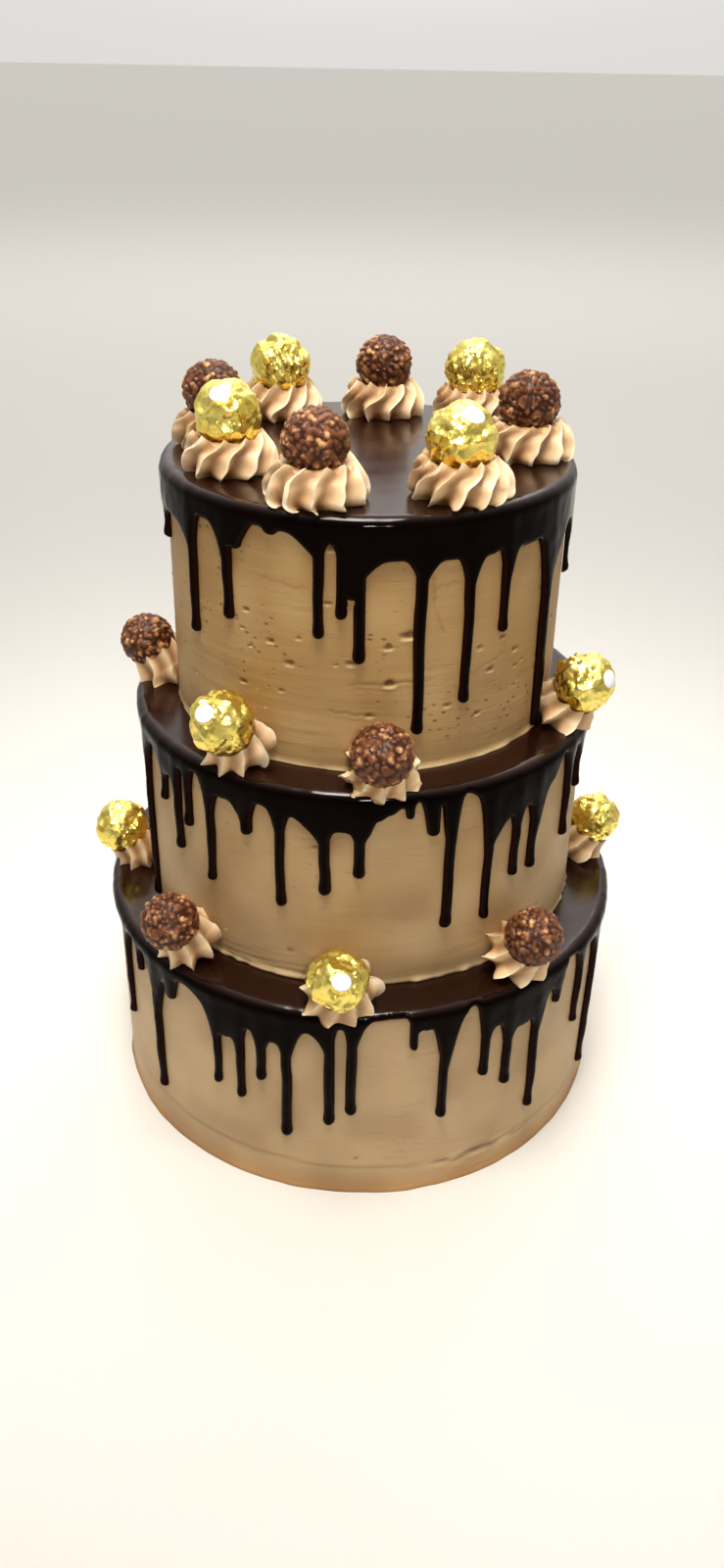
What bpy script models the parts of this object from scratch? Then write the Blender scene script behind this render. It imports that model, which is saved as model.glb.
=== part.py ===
"""Drip cake: three round tiers under dark ganache, with piped rosettes and 24 round sweets.

Lengths are metres, angles are degrees counted from +X towards +Y, and the front faces -Y.
"""

import math
import random

import bmesh
import bpy
from mathutils import Vector

MM = 0.001
GAP = 0.0005
SEED = 24

# The tiers, from the table up: radius of the buttercream wall and height of the ganache on top.
BOTTOM_RADIUS = 142.0 * MM
MIDDLE_RADIUS = 120.0 * MM
TOP_RADIUS = 100.0 * MM
BOTTOM_LEVEL = 126.0 * MM
MIDDLE_LEVEL = 240.3 * MM
TOP_LEVEL = 366.3 * MM
GANACHE_THICK = 2.6 * MM
EDGE_THICK = 0.9 * MM
EDGE_ROUND = 2.4 * MM
RIM_ROUND = 3.0 * MM
WALL_STEPS = 36

# The lower edge of the ganache on each tier. A skirt row is an angle and a depth below the top of the ganache.
# A drip row is an angle, the depth of its tip, its width, then how far and how deep its funnel opens on the
# left and on the right, all in millimetres.
TOP_SKIRT = (
    (-166, 19), (-153, 21), (-139.5, 13), (-126, 13), (-119.5, 9.5), (-112, 10), (-104, 14), (-99, 13),
    (-89, 21), (-78.5, 20), (-69, 21.5), (-56.5, 22.5), (-52.5, 20.5), (-42, 22.5), (-25, 24), (-9.5, 25),
    (15, 17), (40, 22), (70, 14), (95, 20), (120, 13), (150, 20),
)
TOP_DRIPS = (
    (-163.5, 37, 4.4, 6, 8, 6, 6),
    (-143.5, 73, 5.6, 14, 14, 5, 14),
    (-129, 58, 5.3, 9, 16, 4, 10),
    (-125.9, 22.5, 7, 1.5, 3, 8, 9),
    (-115, 12.5, 9, 3, 1, 3, 1),
    (-102, 58.5, 5.2, 12, 6, 2.6, 5),
    (-96, 48.5, 5.2, 2.6, 5, 2, 22),
    (-93.7, 39, 3, 1, 4, 1, 4),
    (-91.4, 69.5, 5.1, 2, 22, 10, 7),
    (-75.6, 107, 5.7, 7, 8, 8, 9),
    (-62.2, 94, 5.3, 5, 10, 6, 12),
    (-50.5, 62.5, 5, 3, 8, 6, 16),
    (-30.4, 125.2, 6.6, 10, 30, 22, 24),
    (-9, 56, 5, 6, 12, 6, 12),
    (16, 82, 5.4, 7, 12, 9, 14),
    (45, 46, 5.2, 5, 9, 8, 10),
    (72, 98, 5.6, 9, 18, 6, 12),
    (101, 64, 5.5, 8, 14, 6, 10),
    (127, 88, 5.4, 5, 8, 7, 10),
    (155, 52, 5.6, 8, 15, 7, 12),
)
MIDDLE_SKIRT = (
    (-153.5, 12), (-149, 16), (-144, 21), (-137.6, 10.5), (-133.7, 8), (-124.6, 16.5), (-114.6, 13),
    (-105.9, 16), (-101, 23), (-94.5, 22), (-88, 22), (-86.2, 15), (-83.2, 12), (-80.5, 7.7), (-76.4, 5),
    (-65.4, 5.2), (-55, 26), (-48.9, 24.5), (-45.3, 23.5), (-38, 18), (-33.6, 6.5), (-18, 12), (10, 18),
    (35, 9), (60, 16), (90, 12), (120, 20), (145, 10), (172, 16),
)
MIDDLE_DRIPS = (
    (-158.5, 113, 5, 8, 14, 8, 14),
    (-146.8, 38.5, 5, 4, 6, 3, 6),
    (-140.2, 60.5, 5.4, 3, 14, 2.4, 8),
    (-135.8, 42.5, 5, 2.4, 5, 4, 12),
    (-128.2, 68.3, 5.2, 5, 16, 4, 12),
    (-117.4, 32.5, 6.5, 8, 12, 4, 10),
    (-108.9, 69.3, 5.2, 5, 12, 4, 10),
    (-98.4, 59, 5.5, 6, 6, 3, 5),
    (-90.3, 47.8, 5.4, 3, 5, 4, 6),
    (-79, 14.8, 4.5, 2, 3, 2, 3),
    (-73.4, 26, 6.5, 5, 18, 2, 4),
    (-69.1, 82.3, 5.8, 4, 26, 4, 28),
    (-58.4, 83.2, 4.6, 6, 30, 10, 14),
    (-50.4, 63, 5, 3, 8, 3, 8),
    (-44.2, 64.2, 5.4, 4, 10, 10, 22),
    (-29, 60.3, 5.5, 5, 14, 6, 14),
    (-21.8, 38, 5, 5, 10, 6, 10),
    (2, 74, 5.4, 7, 12, 8, 14),
    (31, 52, 5.2, 6, 10, 6, 9),
    (62, 90, 5.6, 8, 16, 8, 13),
    (93, 44, 5.2, 5, 8, 7, 10),
    (124, 78, 5.5, 8, 13, 6, 11),
    (152, 56, 5.2, 6, 10, 6, 9),
    (176, 92, 5.4, 7, 12, 7, 12),
)
BOTTOM_SKIRT = (
    (-160, 10), (-150, 8), (-145, 7), (-129, 9.5), (-124.5, 14), (-118.4, 31), (-113, 20), (-107, 25),
    (-99.9, 14.5), (-93.3, 10), (-86.5, 4.8), (-83.1, 4.2), (-79.7, 4.2), (-76, 13), (-73, 10),
    (-65.3, 4.2), (-59.9, 22), (-52.3, 30), (-44, 16), (-38.5, 5), (-28, 10), (-10, 14), (20, 8),
    (50, 18), (80, 9), (110, 20), (140, 8), (165, 16),
)
BOTTOM_DRIPS = (
    (-154, 69.5, 4.6, 6, 14, 6, 14),
    (-146.3, 26, 4.6, 5, 8, 5, 6),
    (-139.8, 98, 5.4, 12, 22, 14, 36),
    (-134.2, 26, 8, 2, 3, 5, 14),
    (-120.9, 65.7, 4.8, 10, 16, 2, 6),
    (-115.1, 69.3, 5.2, 3, 12, 3, 8),
    (-110.3, 52.6, 5.4, 4, 10, 4, 8),
    (-104.8, 87.8, 5.4, 3, 6, 8, 14),
    (-95.6, 76.1, 5.4, 9, 14, 2.4, 8),
    (-91, 68.2, 5.6, 2.4, 10, 8, 14),
    (-78.4, 24.6, 4.6, 2, 4, 2, 4),
    (-71.8, 75.2, 5.4, 6, 22, 11, 34),
    (-62.2, 53.7, 5.4, 5, 18, 3, 8),
    (-56.4, 66.2, 5.4, 4, 12, 4, 8),
    (-48.3, 94.2, 5.6, 4, 8, 8, 20),
    (-41.9, 29.2, 5.4, 4, 8, 6, 14),
    (-32.2, 59.1, 5.2, 5, 12, 6, 14),
    (-22.8, 107.9, 5.6, 6, 14, 7, 16),
    (3, 62, 5.4, 7, 12, 8, 13),
    (30, 88, 5.6, 8, 14, 7, 12),
    (60, 48, 5.2, 5, 8, 7, 11),
    (90, 80, 5.5, 8, 15, 7, 12),
    (121, 58, 5.3, 7, 10, 6, 10),
    (150, 92, 5.6, 8, 14, 9, 15),
    (175, 60, 5.2, 6, 10, 7, 11),
)

# The sweets: radius of each kind, then rows of kind, angle, distance of the middle from the cake's axis,
# height of the middle above the ganache, and the reach of the piped cream under it, in millimetres.
FOIL_RADIUS = 16.5 * MM
NUT_RADIUS = 15.4 * MM
TOP_SWEETS = (
    ("foil", -150, 75, 26, 23.4), ("nut", -106, 83, 26, 24.4), ("foil", -60, 81, 26, 24.4),
    ("nut", -3, 77.5, 26, 24.0), ("foil", 49, 85, 26, 22.6), ("nut", 84, 73.5, 26, 23.2),
    ("foil", 126, 81, 26, 23.4), ("nut", 174.7, 77, 26, 21.0),
)
MIDDLE_SWEETS = (
    ("nut", 178, 117.5, 20, 16), ("foil", -123.4, 120, 25, 17), ("nut", -85.8, 122.5, 21.5, 17),
    ("foil", -22, 120, 23, 17), ("nut", 44, 119, 24, 17), ("foil", 78, 120, 25, 17),
    ("nut", 110, 119, 24, 17), ("foil", 144, 120, 24, 17),
)
BOTTOM_SWEETS = (
    ("foil", -178, 138.5, 20, 16), ("nut", -133, 142, 26, 17), ("foil", -93.9, 145, 22.8, 20),
    ("nut", -51.5, 142, 26, 18), ("foil", 5, 138.5, 21, 17), ("nut", 50, 141, 25, 17),
    ("foil", 95, 142, 25, 18), ("nut", 138, 141, 25, 17),
)

# A dollop's star of petals sits under and behind its sweet, in the corner of wall and ledge.
ROSETTE_RIDGES = 10
ROSETTE_TWIST = -11.0
DOLLOP_PETALS = 8
DOLLOP_BEHIND = 9.0 * MM
DOLLOP_BELOW = 15.0 * MM


def set_up_collections():
    """Empty the file and return the collection that takes the cake."""
    for obj in list(bpy.data.objects):
        bpy.data.objects.remove(obj)
    cake = bpy.data.collections.new("drip_cake")
    bpy.context.scene.collection.children.link(cake)
    return cake


def plain_material(name, color, roughness, metallic=0.0, coat=0.0):
    """Make one material with its own shader."""
    material = bpy.data.materials.new(name)
    material.use_nodes = True
    shader = material.node_tree.nodes["Principled BSDF"]
    shader.inputs["Base Color"].default_value = (*color, 1.0)
    shader.inputs["Roughness"].default_value = roughness
    shader.inputs["Metallic"].default_value = metallic
    shader.inputs["Coat Weight"].default_value = coat
    material.diffuse_color = (*color, 1.0)
    return material


def buttercream():
    return plain_material("mocha_buttercream", (0.40, 0.27, 0.13), 0.62)


def piped_cream():
    return plain_material("piped_cream", (0.62, 0.43, 0.24), 0.55)


def ganache():
    return plain_material("dark_ganache", (0.022, 0.010, 0.006), 0.16, coat=0.6)


def gold_foil():
    return plain_material("gold_foil", (0.86, 0.62, 0.16), 0.26, metallic=1.0)


def nut_chocolate():
    return plain_material("nut_chocolate", (0.16, 0.065, 0.030), 0.42)


def add_object(cake, name, mesh, material):
    """Put one named mesh into the cake's collection."""
    mesh.materials.clear()
    mesh.materials.append(material)
    obj = bpy.data.objects.new(name, mesh)
    cake.objects.link(obj)
    return obj


def finish_mesh(bm, name, smooth_angle=None):
    """Turn a closed bmesh into a mesh, with its faces outward and its round sides smooth."""
    if bm.calc_volume(signed=True) < 0.0:
        bmesh.ops.reverse_faces(bm, faces=bm.faces)
    mesh = bpy.data.meshes.new(name)
    bm.to_mesh(mesh)
    bm.free()
    if smooth_angle is not None:
        for polygon in mesh.polygons:
            polygon.use_smooth = True
        mesh.set_sharp_from_angle(angle=math.radians(smooth_angle))
    return mesh


def ring_point(angle, radius, height):
    """Return the point at an angle round the cake's axis."""
    turn = math.radians(angle)
    return Vector((radius * math.cos(turn), radius * math.sin(turn), height))


# Buttercream tiers

def tier_profile(radius, foot, top, lip):
    """List radius and height down one side of a tier, from the axis to the axis."""
    return (
        (0.0, top),
        (radius - RIM_ROUND, top),
        (radius, top - RIM_ROUND),
        (radius, foot + 12.0 * MM),
        (radius + lip, foot),
        (0.0, foot),
    )


def build_tier(cake, name, radius, foot, top, lip, material):
    """Sweep the side of a tier into a closed body."""
    profile = tier_profile(radius, foot, top, lip)
    mesh = bpy.data.meshes.new(name)
    points = [(across, 0.0, height) for across, height in profile]
    edges = [(i, i + 1) for i in range(len(points) - 1)]
    mesh.from_pydata(points, edges, [])
    obj = add_object(cake, name, mesh, material)
    screw = obj.modifiers.new("round", "SCREW")
    screw.steps = WALL_STEPS
    screw.render_steps = WALL_STEPS
    screw.use_merge_vertices = True
    screw.merge_threshold = 0.1 * MM
    screw.use_smooth_shade = True
    return obj


# Ganache: a skin over the top of a tier with a rounded rim, a skirt and drips

def skirt_depth(skirt, angle):
    """Return the depth of the skirt between the drips, in millimetres."""
    rows = [(skirt[-1][0] - 360.0, skirt[-1][1]), *skirt, (skirt[0][0] + 360.0, skirt[0][1])]
    for (left, left_depth), (right, right_depth) in zip(rows, rows[1:]):
        if left <= angle <= right:
            part = (angle - left) / (right - left)
            ease = part * part * (3.0 - 2.0 * part)
            return left_depth + (right_depth - left_depth) * ease
    return skirt[0][1]


def edge_depth(skirt, drips, radius, angle):
    """Return the depth of the ganache's lower edge at an angle, in millimetres."""
    base = skirt_depth(skirt, angle)
    depth = base
    for middle, tip, width, left_reach, left_deep, right_reach, right_deep in drips:
        half = width / 2.0
        away = math.radians((angle - middle + 180.0) % 360.0 - 180.0) * radius / MM
        if abs(away) <= half:
            here = tip - half * (1.0 - math.sqrt(max(0.0, 1.0 - (away / half) ** 2)))
        else:
            reach, deep = (left_reach, left_deep) if away < 0.0 else (right_reach, right_deep)
            deep = min(deep, max(0.0, tip - half - base))
            fade = max(0.0, 1.0 - (abs(away) - half) / reach)
            here = base + deep * fade * fade
        depth = max(depth, here)
    return depth


def column_angles(drips, radius):
    """List the angles of the skin's columns: five for a drip, more where a gap is wide."""
    per_mm = math.degrees(MM / radius)
    marks = set()
    for middle, _tip, width, *_funnels in drips:
        half = width / 2.0
        for away in (-half - 0.25, -half + 0.05, 0.0, half - 0.05, half + 0.25):
            marks.add(round((middle + away * per_mm + 180.0) % 360.0 - 180.0, 4))
    marks.update((-180.0, 180.0))
    columns = []
    for mark in sorted(marks):
        if columns and mark - columns[-1] < 0.15 * per_mm and mark < 180.0:
            continue
        columns.append(mark)
    full = [columns[0]]
    for left, right in zip(columns, columns[1:]):
        parts = 1
        if right - left > 3.7:
            parts = 2
        if right - left > 9.0:
            parts = 4
        full.extend(left + (right - left) * (i + 1) / parts for i in range(parts))
    return full


def outline_gap(outline, along, depth):
    """Return the distance from a point of the skin to its lower edge, in millimetres."""
    nearest = 1000.0
    for (x0, y0), (x1, y1) in zip(outline, outline[1:]):
        if min(abs(x0 - along), abs(x1 - along)) > 12.0:
            continue
        side = Vector((x1 - x0, y1 - y0))
        part = side.dot(Vector((along - x0, depth - y0))) / max(side.length_squared, 1e-9)
        part = min(1.0, max(0.0, part))
        nearest = min(nearest, math.hypot(x0 + side.x * part - along, y0 + side.y * part - depth))
    return nearest


def build_ganache(cake, name, radius, level, skirt, drips, material):
    """Lay a grid over a tier, shape its lower edge with the drips, and thicken it outward."""
    inner = radius + GAP
    inner_top = level - GANACHE_THICK
    columns = column_angles(drips, inner)
    least = GANACHE_THICK + RIM_ROUND + 0.8 * MM
    depths = [max(least, edge_depth(skirt, drips, inner, angle) * MM) for angle in columns]
    outline = [(math.radians(a) * inner / MM, d / MM) for a, d in zip(columns, depths)]
    rows = 4
    bm = bmesh.new()
    bmesh.ops.create_grid(bm, x_segments=len(columns) - 1, y_segments=rows, size=1.0)
    weight = {}
    for vert in bm.verts:
        column = round((vert.co.x + 1.0) / 2.0 * (len(columns) - 1))
        row = round((vert.co.y + 1.0) / 2.0 * rows)
        edge = depths[column] - GANACHE_THICK
        start = RIM_ROUND
        drop = edge - start
        spot = (
            (0.0, 0.0),
            (inner - RIM_ROUND, 0.0),
            (inner, start),
            (inner, start + max(0.6 * drop, drop - 1.8 * MM)),
            (inner, edge),
        )[row]
        vert.co = ring_point(columns[column], spot[0], inner_top - spot[1])
        thick = 1.0
        if row >= 3:
            away = outline_gap(outline, outline[column][0], (spot[1] + GANACHE_THICK) / MM) * MM
            bulge = math.sqrt(max(0.0, 1.0 - (1.0 - min(1.0, away / EDGE_ROUND)) ** 2))
            thick = (EDGE_THICK + (GANACHE_THICK - EDGE_THICK) * bulge) / GANACHE_THICK
        weight[tuple(round(c, 6) for c in vert.co)] = thick
    bmesh.ops.remove_doubles(bm, verts=bm.verts, dist=0.01 * MM)
    bmesh.ops.recalc_face_normals(bm, faces=bm.faces)
    if sum(face.normal.z for face in bm.faces) < 0.0:
        bmesh.ops.reverse_faces(bm, faces=bm.faces)
    mesh = bpy.data.meshes.new(name)
    bm.to_mesh(mesh)
    bm.free()
    obj = add_object(cake, name, mesh, material)
    group = obj.vertex_groups.new(name="thickness")
    for vert in mesh.vertices:
        group.add([vert.index], weight.get(tuple(round(c, 6) for c in vert.co), 1.0), "REPLACE")
    solid = obj.modifiers.new("thickness", "SOLIDIFY")
    solid.thickness = GANACHE_THICK
    solid.offset = 1.0
    solid.use_even_offset = False
    solid.vertex_group = "thickness"
    for polygon in mesh.polygons:
        polygon.use_smooth = True
    return obj


# Sweets

def ball_mesh(name, radius, bumps, seed):
    """Make one lumpy ball, no wider than its radius."""
    bm = bmesh.new()
    bmesh.ops.create_icosphere(bm, subdivisions=2, radius=radius)
    draw = random.Random(seed)
    for vert in bm.verts:
        vert.co *= 1.0 - draw.random() * bumps / radius
    return finish_mesh(bm, name, smooth_angle=60.0)


def build_sweets(cake, tier, rows, level, foil, nut):
    """Set one tier's sweets in their ring."""
    for index, (kind, angle, away, rise, _reach) in enumerate(rows):
        radius = FOIL_RADIUS if kind == "foil" else NUT_RADIUS
        name = f"{kind}_ball_{tier}_{index + 1}"
        mesh = ball_mesh(name, radius, 0.7 * MM, f"{SEED} {name}")
        obj = add_object(cake, name, mesh, foil if kind == "foil" else nut)
        obj.location = ring_point(angle, away * MM, level + rise * MM)


# Piped cream

def star_body(name, rings, ridges, shape):
    """Make a closed star-shaped body: shape gives each vertex from its ring, ridge side and turn."""
    bm = bmesh.new()
    bmesh.ops.create_uvsphere(bm, u_segments=2 * ridges, v_segments=rings + 1, radius=1.0)
    for vert in bm.verts:
        across = math.hypot(vert.co.x, vert.co.y)
        ring = round((rings + 1) * math.acos(max(-1.0, min(1.0, vert.co.z))) / math.pi)
        turn = math.atan2(vert.co.y, vert.co.x)
        step = round(turn / math.pi * ridges)
        vert.co = shape(ring, step, math.pi * step / ridges if across > 0.01 else 0.0)
    return finish_mesh(bm, name, smooth_angle=35.0)


def build_rosette(cake, name, place, ball_radius, reach, material, seed):
    """Pipe one twisted rosette with a cup in its top that takes the ball."""
    draw = random.Random(seed)
    ball = ball_radius + GAP
    lengths = [1.0 + 0.10 * (draw.random() - 0.5) for _ in range(ROSETTE_RIDGES)]
    ridge_rings = ((0.0, -16.9), (10.2, -14.9), (17.4, -7.4), (reach - 2.4, -11.0), (reach, -19.0), (reach - 4.4, -25.4))
    valley_rings = ((0.0, -16.9), (10.2, -14.9), (16.0, -10.2), (16.6, -13.0), (17.2, -20.0), (16.0, -25.4))

    def shape(ring, step, turn):
        if ring == 6:
            return Vector((0.0, 0.0, -25.4 * MM))
        ridge = step % 2 == 0
        across, height = (ridge_rings if ridge else valley_rings)[ring]
        if 0 < ring < 3:
            scale = ball / (16.5 * MM)
            across *= max(1.0, scale)
        if ridge and ring >= 3:
            across *= lengths[(step // 2) % ROSETTE_RIDGES]
        twist = math.radians(ROSETTE_TWIST) * (ring - 2) if ring >= 2 else 0.0
        return Vector((across * MM * math.cos(turn + twist), across * MM * math.sin(turn + twist), height * MM))

    mesh = star_body(name, 5, ROSETTE_RIDGES, shape)
    obj = add_object(cake, name, mesh, material)
    obj.location = place
    obj.rotation_euler = (0.0, 0.0, math.radians(draw.random() * 36.0))
    return obj


def build_dollop(cake, name, spot, wall, level, ball_radius, reach, material, seed):
    """Pipe one star of petals under a ledge sweet, flat where it meets the wall and the ledge."""
    draw = random.Random(seed)
    flat = math.hypot(spot.x, spot.y)
    out = Vector((spot.x / flat, spot.y / flat, 0.0))
    middle = spot - out * DOLLOP_BEHIND - Vector((0.0, 0.0, DOLLOP_BELOW))
    axis = (spot - middle).normalized()
    turn_to_axis = axis.to_track_quat("Z", "Y").to_matrix()
    far = (spot - middle).length / MM
    ball = ball_radius / MM + 1.3
    lengths = [1.0 + 0.16 * (draw.random() - 0.5) for _ in range(DOLLOP_PETALS)]
    spin = math.radians(draw.random() * 45.0)

    def on_ball(across):
        return far - math.sqrt(ball * ball - across * across)

    petal = ((0.0, on_ball(0.0)), (8.5, on_ball(8.5)), (13.0, on_ball(13.0)), (reach, -1.0), (9.0, -9.0))
    valley = ((0.0, on_ball(0.0)), (8.5, on_ball(8.5)), (11.0, on_ball(11.0)), (reach * 0.72, -1.5), (8.0, -9.0))

    def shape(ring, step, turn):
        across, height = (0.0, -10.0) if ring == 5 else (petal if step % 2 == 0 else valley)[ring]
        if ring == 3 and step % 2 == 0:
            across *= lengths[(step // 2) % DOLLOP_PETALS]
        local = Vector((across * math.cos(turn + spin), across * math.sin(turn + spin), height)) * MM
        place = middle + turn_to_axis @ local
        away = math.hypot(place.x, place.y)
        nearest = wall + 1.0 * MM
        if away < nearest:
            place.x *= nearest / away
            place.y *= nearest / away
        place.z = max(place.z, level + 0.6 * MM)
        clear = place - spot
        if clear.length < ball * MM:
            place = spot + clear.normalized() * ball * MM
        return place

    mesh = star_body(name, 4, DOLLOP_PETALS, shape)
    return add_object(cake, name, mesh, material)


def build_piping(cake, cream):
    """Pipe the rosettes on top and the dollops on both ledges."""
    for index, (kind, angle, away, rise, reach) in enumerate(TOP_SWEETS):
        radius = FOIL_RADIUS if kind == "foil" else NUT_RADIUS
        spot = ring_point(angle, away * MM, TOP_LEVEL + rise * MM)
        name = f"rosette_{index + 1}"
        build_rosette(cake, name, spot, radius, reach, cream, f"{SEED} {name}")
    ledges = (
        ("middle", MIDDLE_SWEETS, MIDDLE_LEVEL, TOP_RADIUS),
        ("bottom", BOTTOM_SWEETS, BOTTOM_LEVEL, MIDDLE_RADIUS),
    )
    for tier, rows, level, wall in ledges:
        for index, (kind, angle, away, rise, reach) in enumerate(rows):
            radius = FOIL_RADIUS if kind == "foil" else NUT_RADIUS
            spot = ring_point(angle, away * MM, level + rise * MM)
            name = f"dollop_{tier}_{index + 1}"
            build_dollop(cake, name, spot, wall, level, radius, reach, cream, f"{SEED} {name}")


def build_cake():
    """Build every sub-part of the cake."""
    cake = set_up_collections()
    wall = buttercream()
    cream = piped_cream()
    dark = ganache()
    foil = gold_foil()
    nut = nut_chocolate()
    tiers = (
        ("bottom", BOTTOM_RADIUS, 0.0, BOTTOM_LEVEL, 1.6 * MM, BOTTOM_SKIRT, BOTTOM_DRIPS),
        ("middle", MIDDLE_RADIUS, BOTTOM_LEVEL + GAP, MIDDLE_LEVEL, 0.6 * MM, MIDDLE_SKIRT, MIDDLE_DRIPS),
        ("top", TOP_RADIUS, MIDDLE_LEVEL + GAP, TOP_LEVEL, 0.4 * MM, TOP_SKIRT, TOP_DRIPS),
    )
    for tier, radius, foot, level, lip, skirt, drips in tiers:
        build_tier(cake, f"tier_{tier}", radius, foot, level - GANACHE_THICK - GAP, lip, wall)
        build_ganache(cake, f"ganache_{tier}", radius, level, skirt, drips, dark)
    build_piping(cake, cream)
    build_sweets(cake, "top", TOP_SWEETS, TOP_LEVEL, foil, nut)
    build_sweets(cake, "middle", MIDDLE_SWEETS, MIDDLE_LEVEL, foil, nut)
    build_sweets(cake, "bottom", BOTTOM_SWEETS, BOTTOM_LEVEL, foil, nut)


build_cake()
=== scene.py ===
"""Looks of the drip cake: spread buttercream, glossy ganache, piped cream and crumpled foil."""

import math

import bmesh
import bpy
import numpy as np
from mathutils import Matrix, Vector
from mathutils.geometry import delaunay_2d_cdt


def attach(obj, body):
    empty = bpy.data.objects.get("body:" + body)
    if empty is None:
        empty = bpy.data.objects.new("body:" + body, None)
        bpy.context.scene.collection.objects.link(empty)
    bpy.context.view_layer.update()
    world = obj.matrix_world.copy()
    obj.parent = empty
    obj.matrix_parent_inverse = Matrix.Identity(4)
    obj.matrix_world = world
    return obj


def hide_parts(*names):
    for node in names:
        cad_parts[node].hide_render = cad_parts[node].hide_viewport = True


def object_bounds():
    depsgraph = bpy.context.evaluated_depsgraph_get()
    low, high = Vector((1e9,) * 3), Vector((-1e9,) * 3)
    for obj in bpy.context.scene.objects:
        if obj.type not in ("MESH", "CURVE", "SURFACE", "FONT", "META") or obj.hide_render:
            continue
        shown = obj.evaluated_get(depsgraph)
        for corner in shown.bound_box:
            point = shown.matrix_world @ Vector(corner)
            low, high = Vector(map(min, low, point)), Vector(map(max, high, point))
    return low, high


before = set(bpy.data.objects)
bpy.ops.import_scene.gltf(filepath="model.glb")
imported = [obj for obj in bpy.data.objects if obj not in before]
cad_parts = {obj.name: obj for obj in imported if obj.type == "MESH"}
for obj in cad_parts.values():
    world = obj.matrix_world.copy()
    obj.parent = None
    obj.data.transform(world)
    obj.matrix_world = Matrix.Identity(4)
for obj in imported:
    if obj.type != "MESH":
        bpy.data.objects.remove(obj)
cad_low, cad_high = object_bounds()

# Lengths below are millimetres and angles degrees from +X towards +Y, as in the part's source.
MM = 0.001
TURN = 2.0 * math.pi
LOWEST, HIGHEST = np.array(cad_low) + (1e-5, 1e-5, 0.0), np.array(cad_high) - 1e-5
BOTTOM_RADIUS = 142.0
MIDDLE_RADIUS = 120.0
TOP_RADIUS = 100.0
BOTTOM_LEVEL = 126.0
MIDDLE_LEVEL = 240.3
TOP_LEVEL = 366.3
SKIN = 2.6
SKIN_GAP = 0.5
RIM = 3.0
BURIED = 0.7
# The ganache's edge sinks into the cream by SUNK and is rounded over BEAD. Drips shorter than SHORT_DRIP hang straight.
SUNK = 0.12
BEAD = 2.75
SHORT_DRIP = 30.0
# Even rows of points in the ganache's mesh end here, and sweets press this far into their cream.
LOWEST_ROW = 60.0
PRESSED = 0.35
STICKER_HALF = (5.6, 4.9)
# Tone of plain cream, an even scale, and what keeps the noises along three axes apart.
NEUTRAL = 0.5
EVEN = (1.0, 1.0, 1.0)
SHIFTS = (0.0, 11.0, 22.0)

TOP_SKIRT = (
    (-166, 19), (-153, 21), (-139.5, 13), (-126, 13), (-119.5, 9.5), (-112, 10), (-104, 14), (-99, 13),
    (-89, 21), (-78.5, 20), (-69, 21.5), (-56.5, 22.5), (-52.5, 20.5), (-42, 22.5), (-25, 24), (-9.5, 25),
    (15, 17), (40, 22), (70, 14), (95, 20), (120, 13), (150, 20),
)
TOP_DRIPS = (
    (-163.5, 37, 4.4, 6, 8, 6, 6), (-143.5, 73, 5.6, 14, 14, 5, 14), (-129, 58, 5.3, 9, 16, 4, 10),
    (-125.9, 22.5, 7, 1.5, 3, 8, 9), (-115, 12.5, 9, 3, 1, 3, 1), (-102, 58.5, 5.2, 12, 6, 2.6, 5),
    (-96, 48.5, 5.2, 2.6, 5, 2, 22), (-93.7, 39, 3, 1, 4, 1, 4), (-91.4, 69.5, 5.1, 2, 22, 10, 7),
    (-75.6, 107, 5.7, 7, 8, 8, 9), (-62.2, 94, 5.3, 5, 10, 6, 12), (-50.5, 62.5, 5, 3, 8, 6, 16),
    (-30.4, 125.2, 6.6, 10, 30, 22, 24), (-9, 56, 5, 6, 12, 6, 12), (16, 82, 5.4, 7, 12, 9, 14),
    (45, 46, 5.2, 5, 9, 8, 10), (72, 98, 5.6, 9, 18, 6, 12), (101, 64, 5.5, 8, 14, 6, 10),
    (127, 88, 5.4, 5, 8, 7, 10), (155, 52, 5.6, 8, 15, 7, 12),
)
MIDDLE_SKIRT = (
    (-153.5, 12), (-149, 16), (-144, 21), (-137.6, 10.5), (-133.7, 8), (-124.6, 16.5), (-114.6, 13),
    (-105.9, 16), (-101, 23), (-94.5, 22), (-88, 22), (-86.2, 15), (-83.2, 12), (-80.5, 7.7), (-76.4, 5),
    (-65.4, 5.2), (-55, 26), (-48.9, 24.5), (-45.3, 23.5), (-38, 18), (-33.6, 6.5), (-18, 12), (10, 18),
    (35, 9), (60, 16), (90, 12), (120, 20), (145, 10), (172, 16),
)
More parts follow.
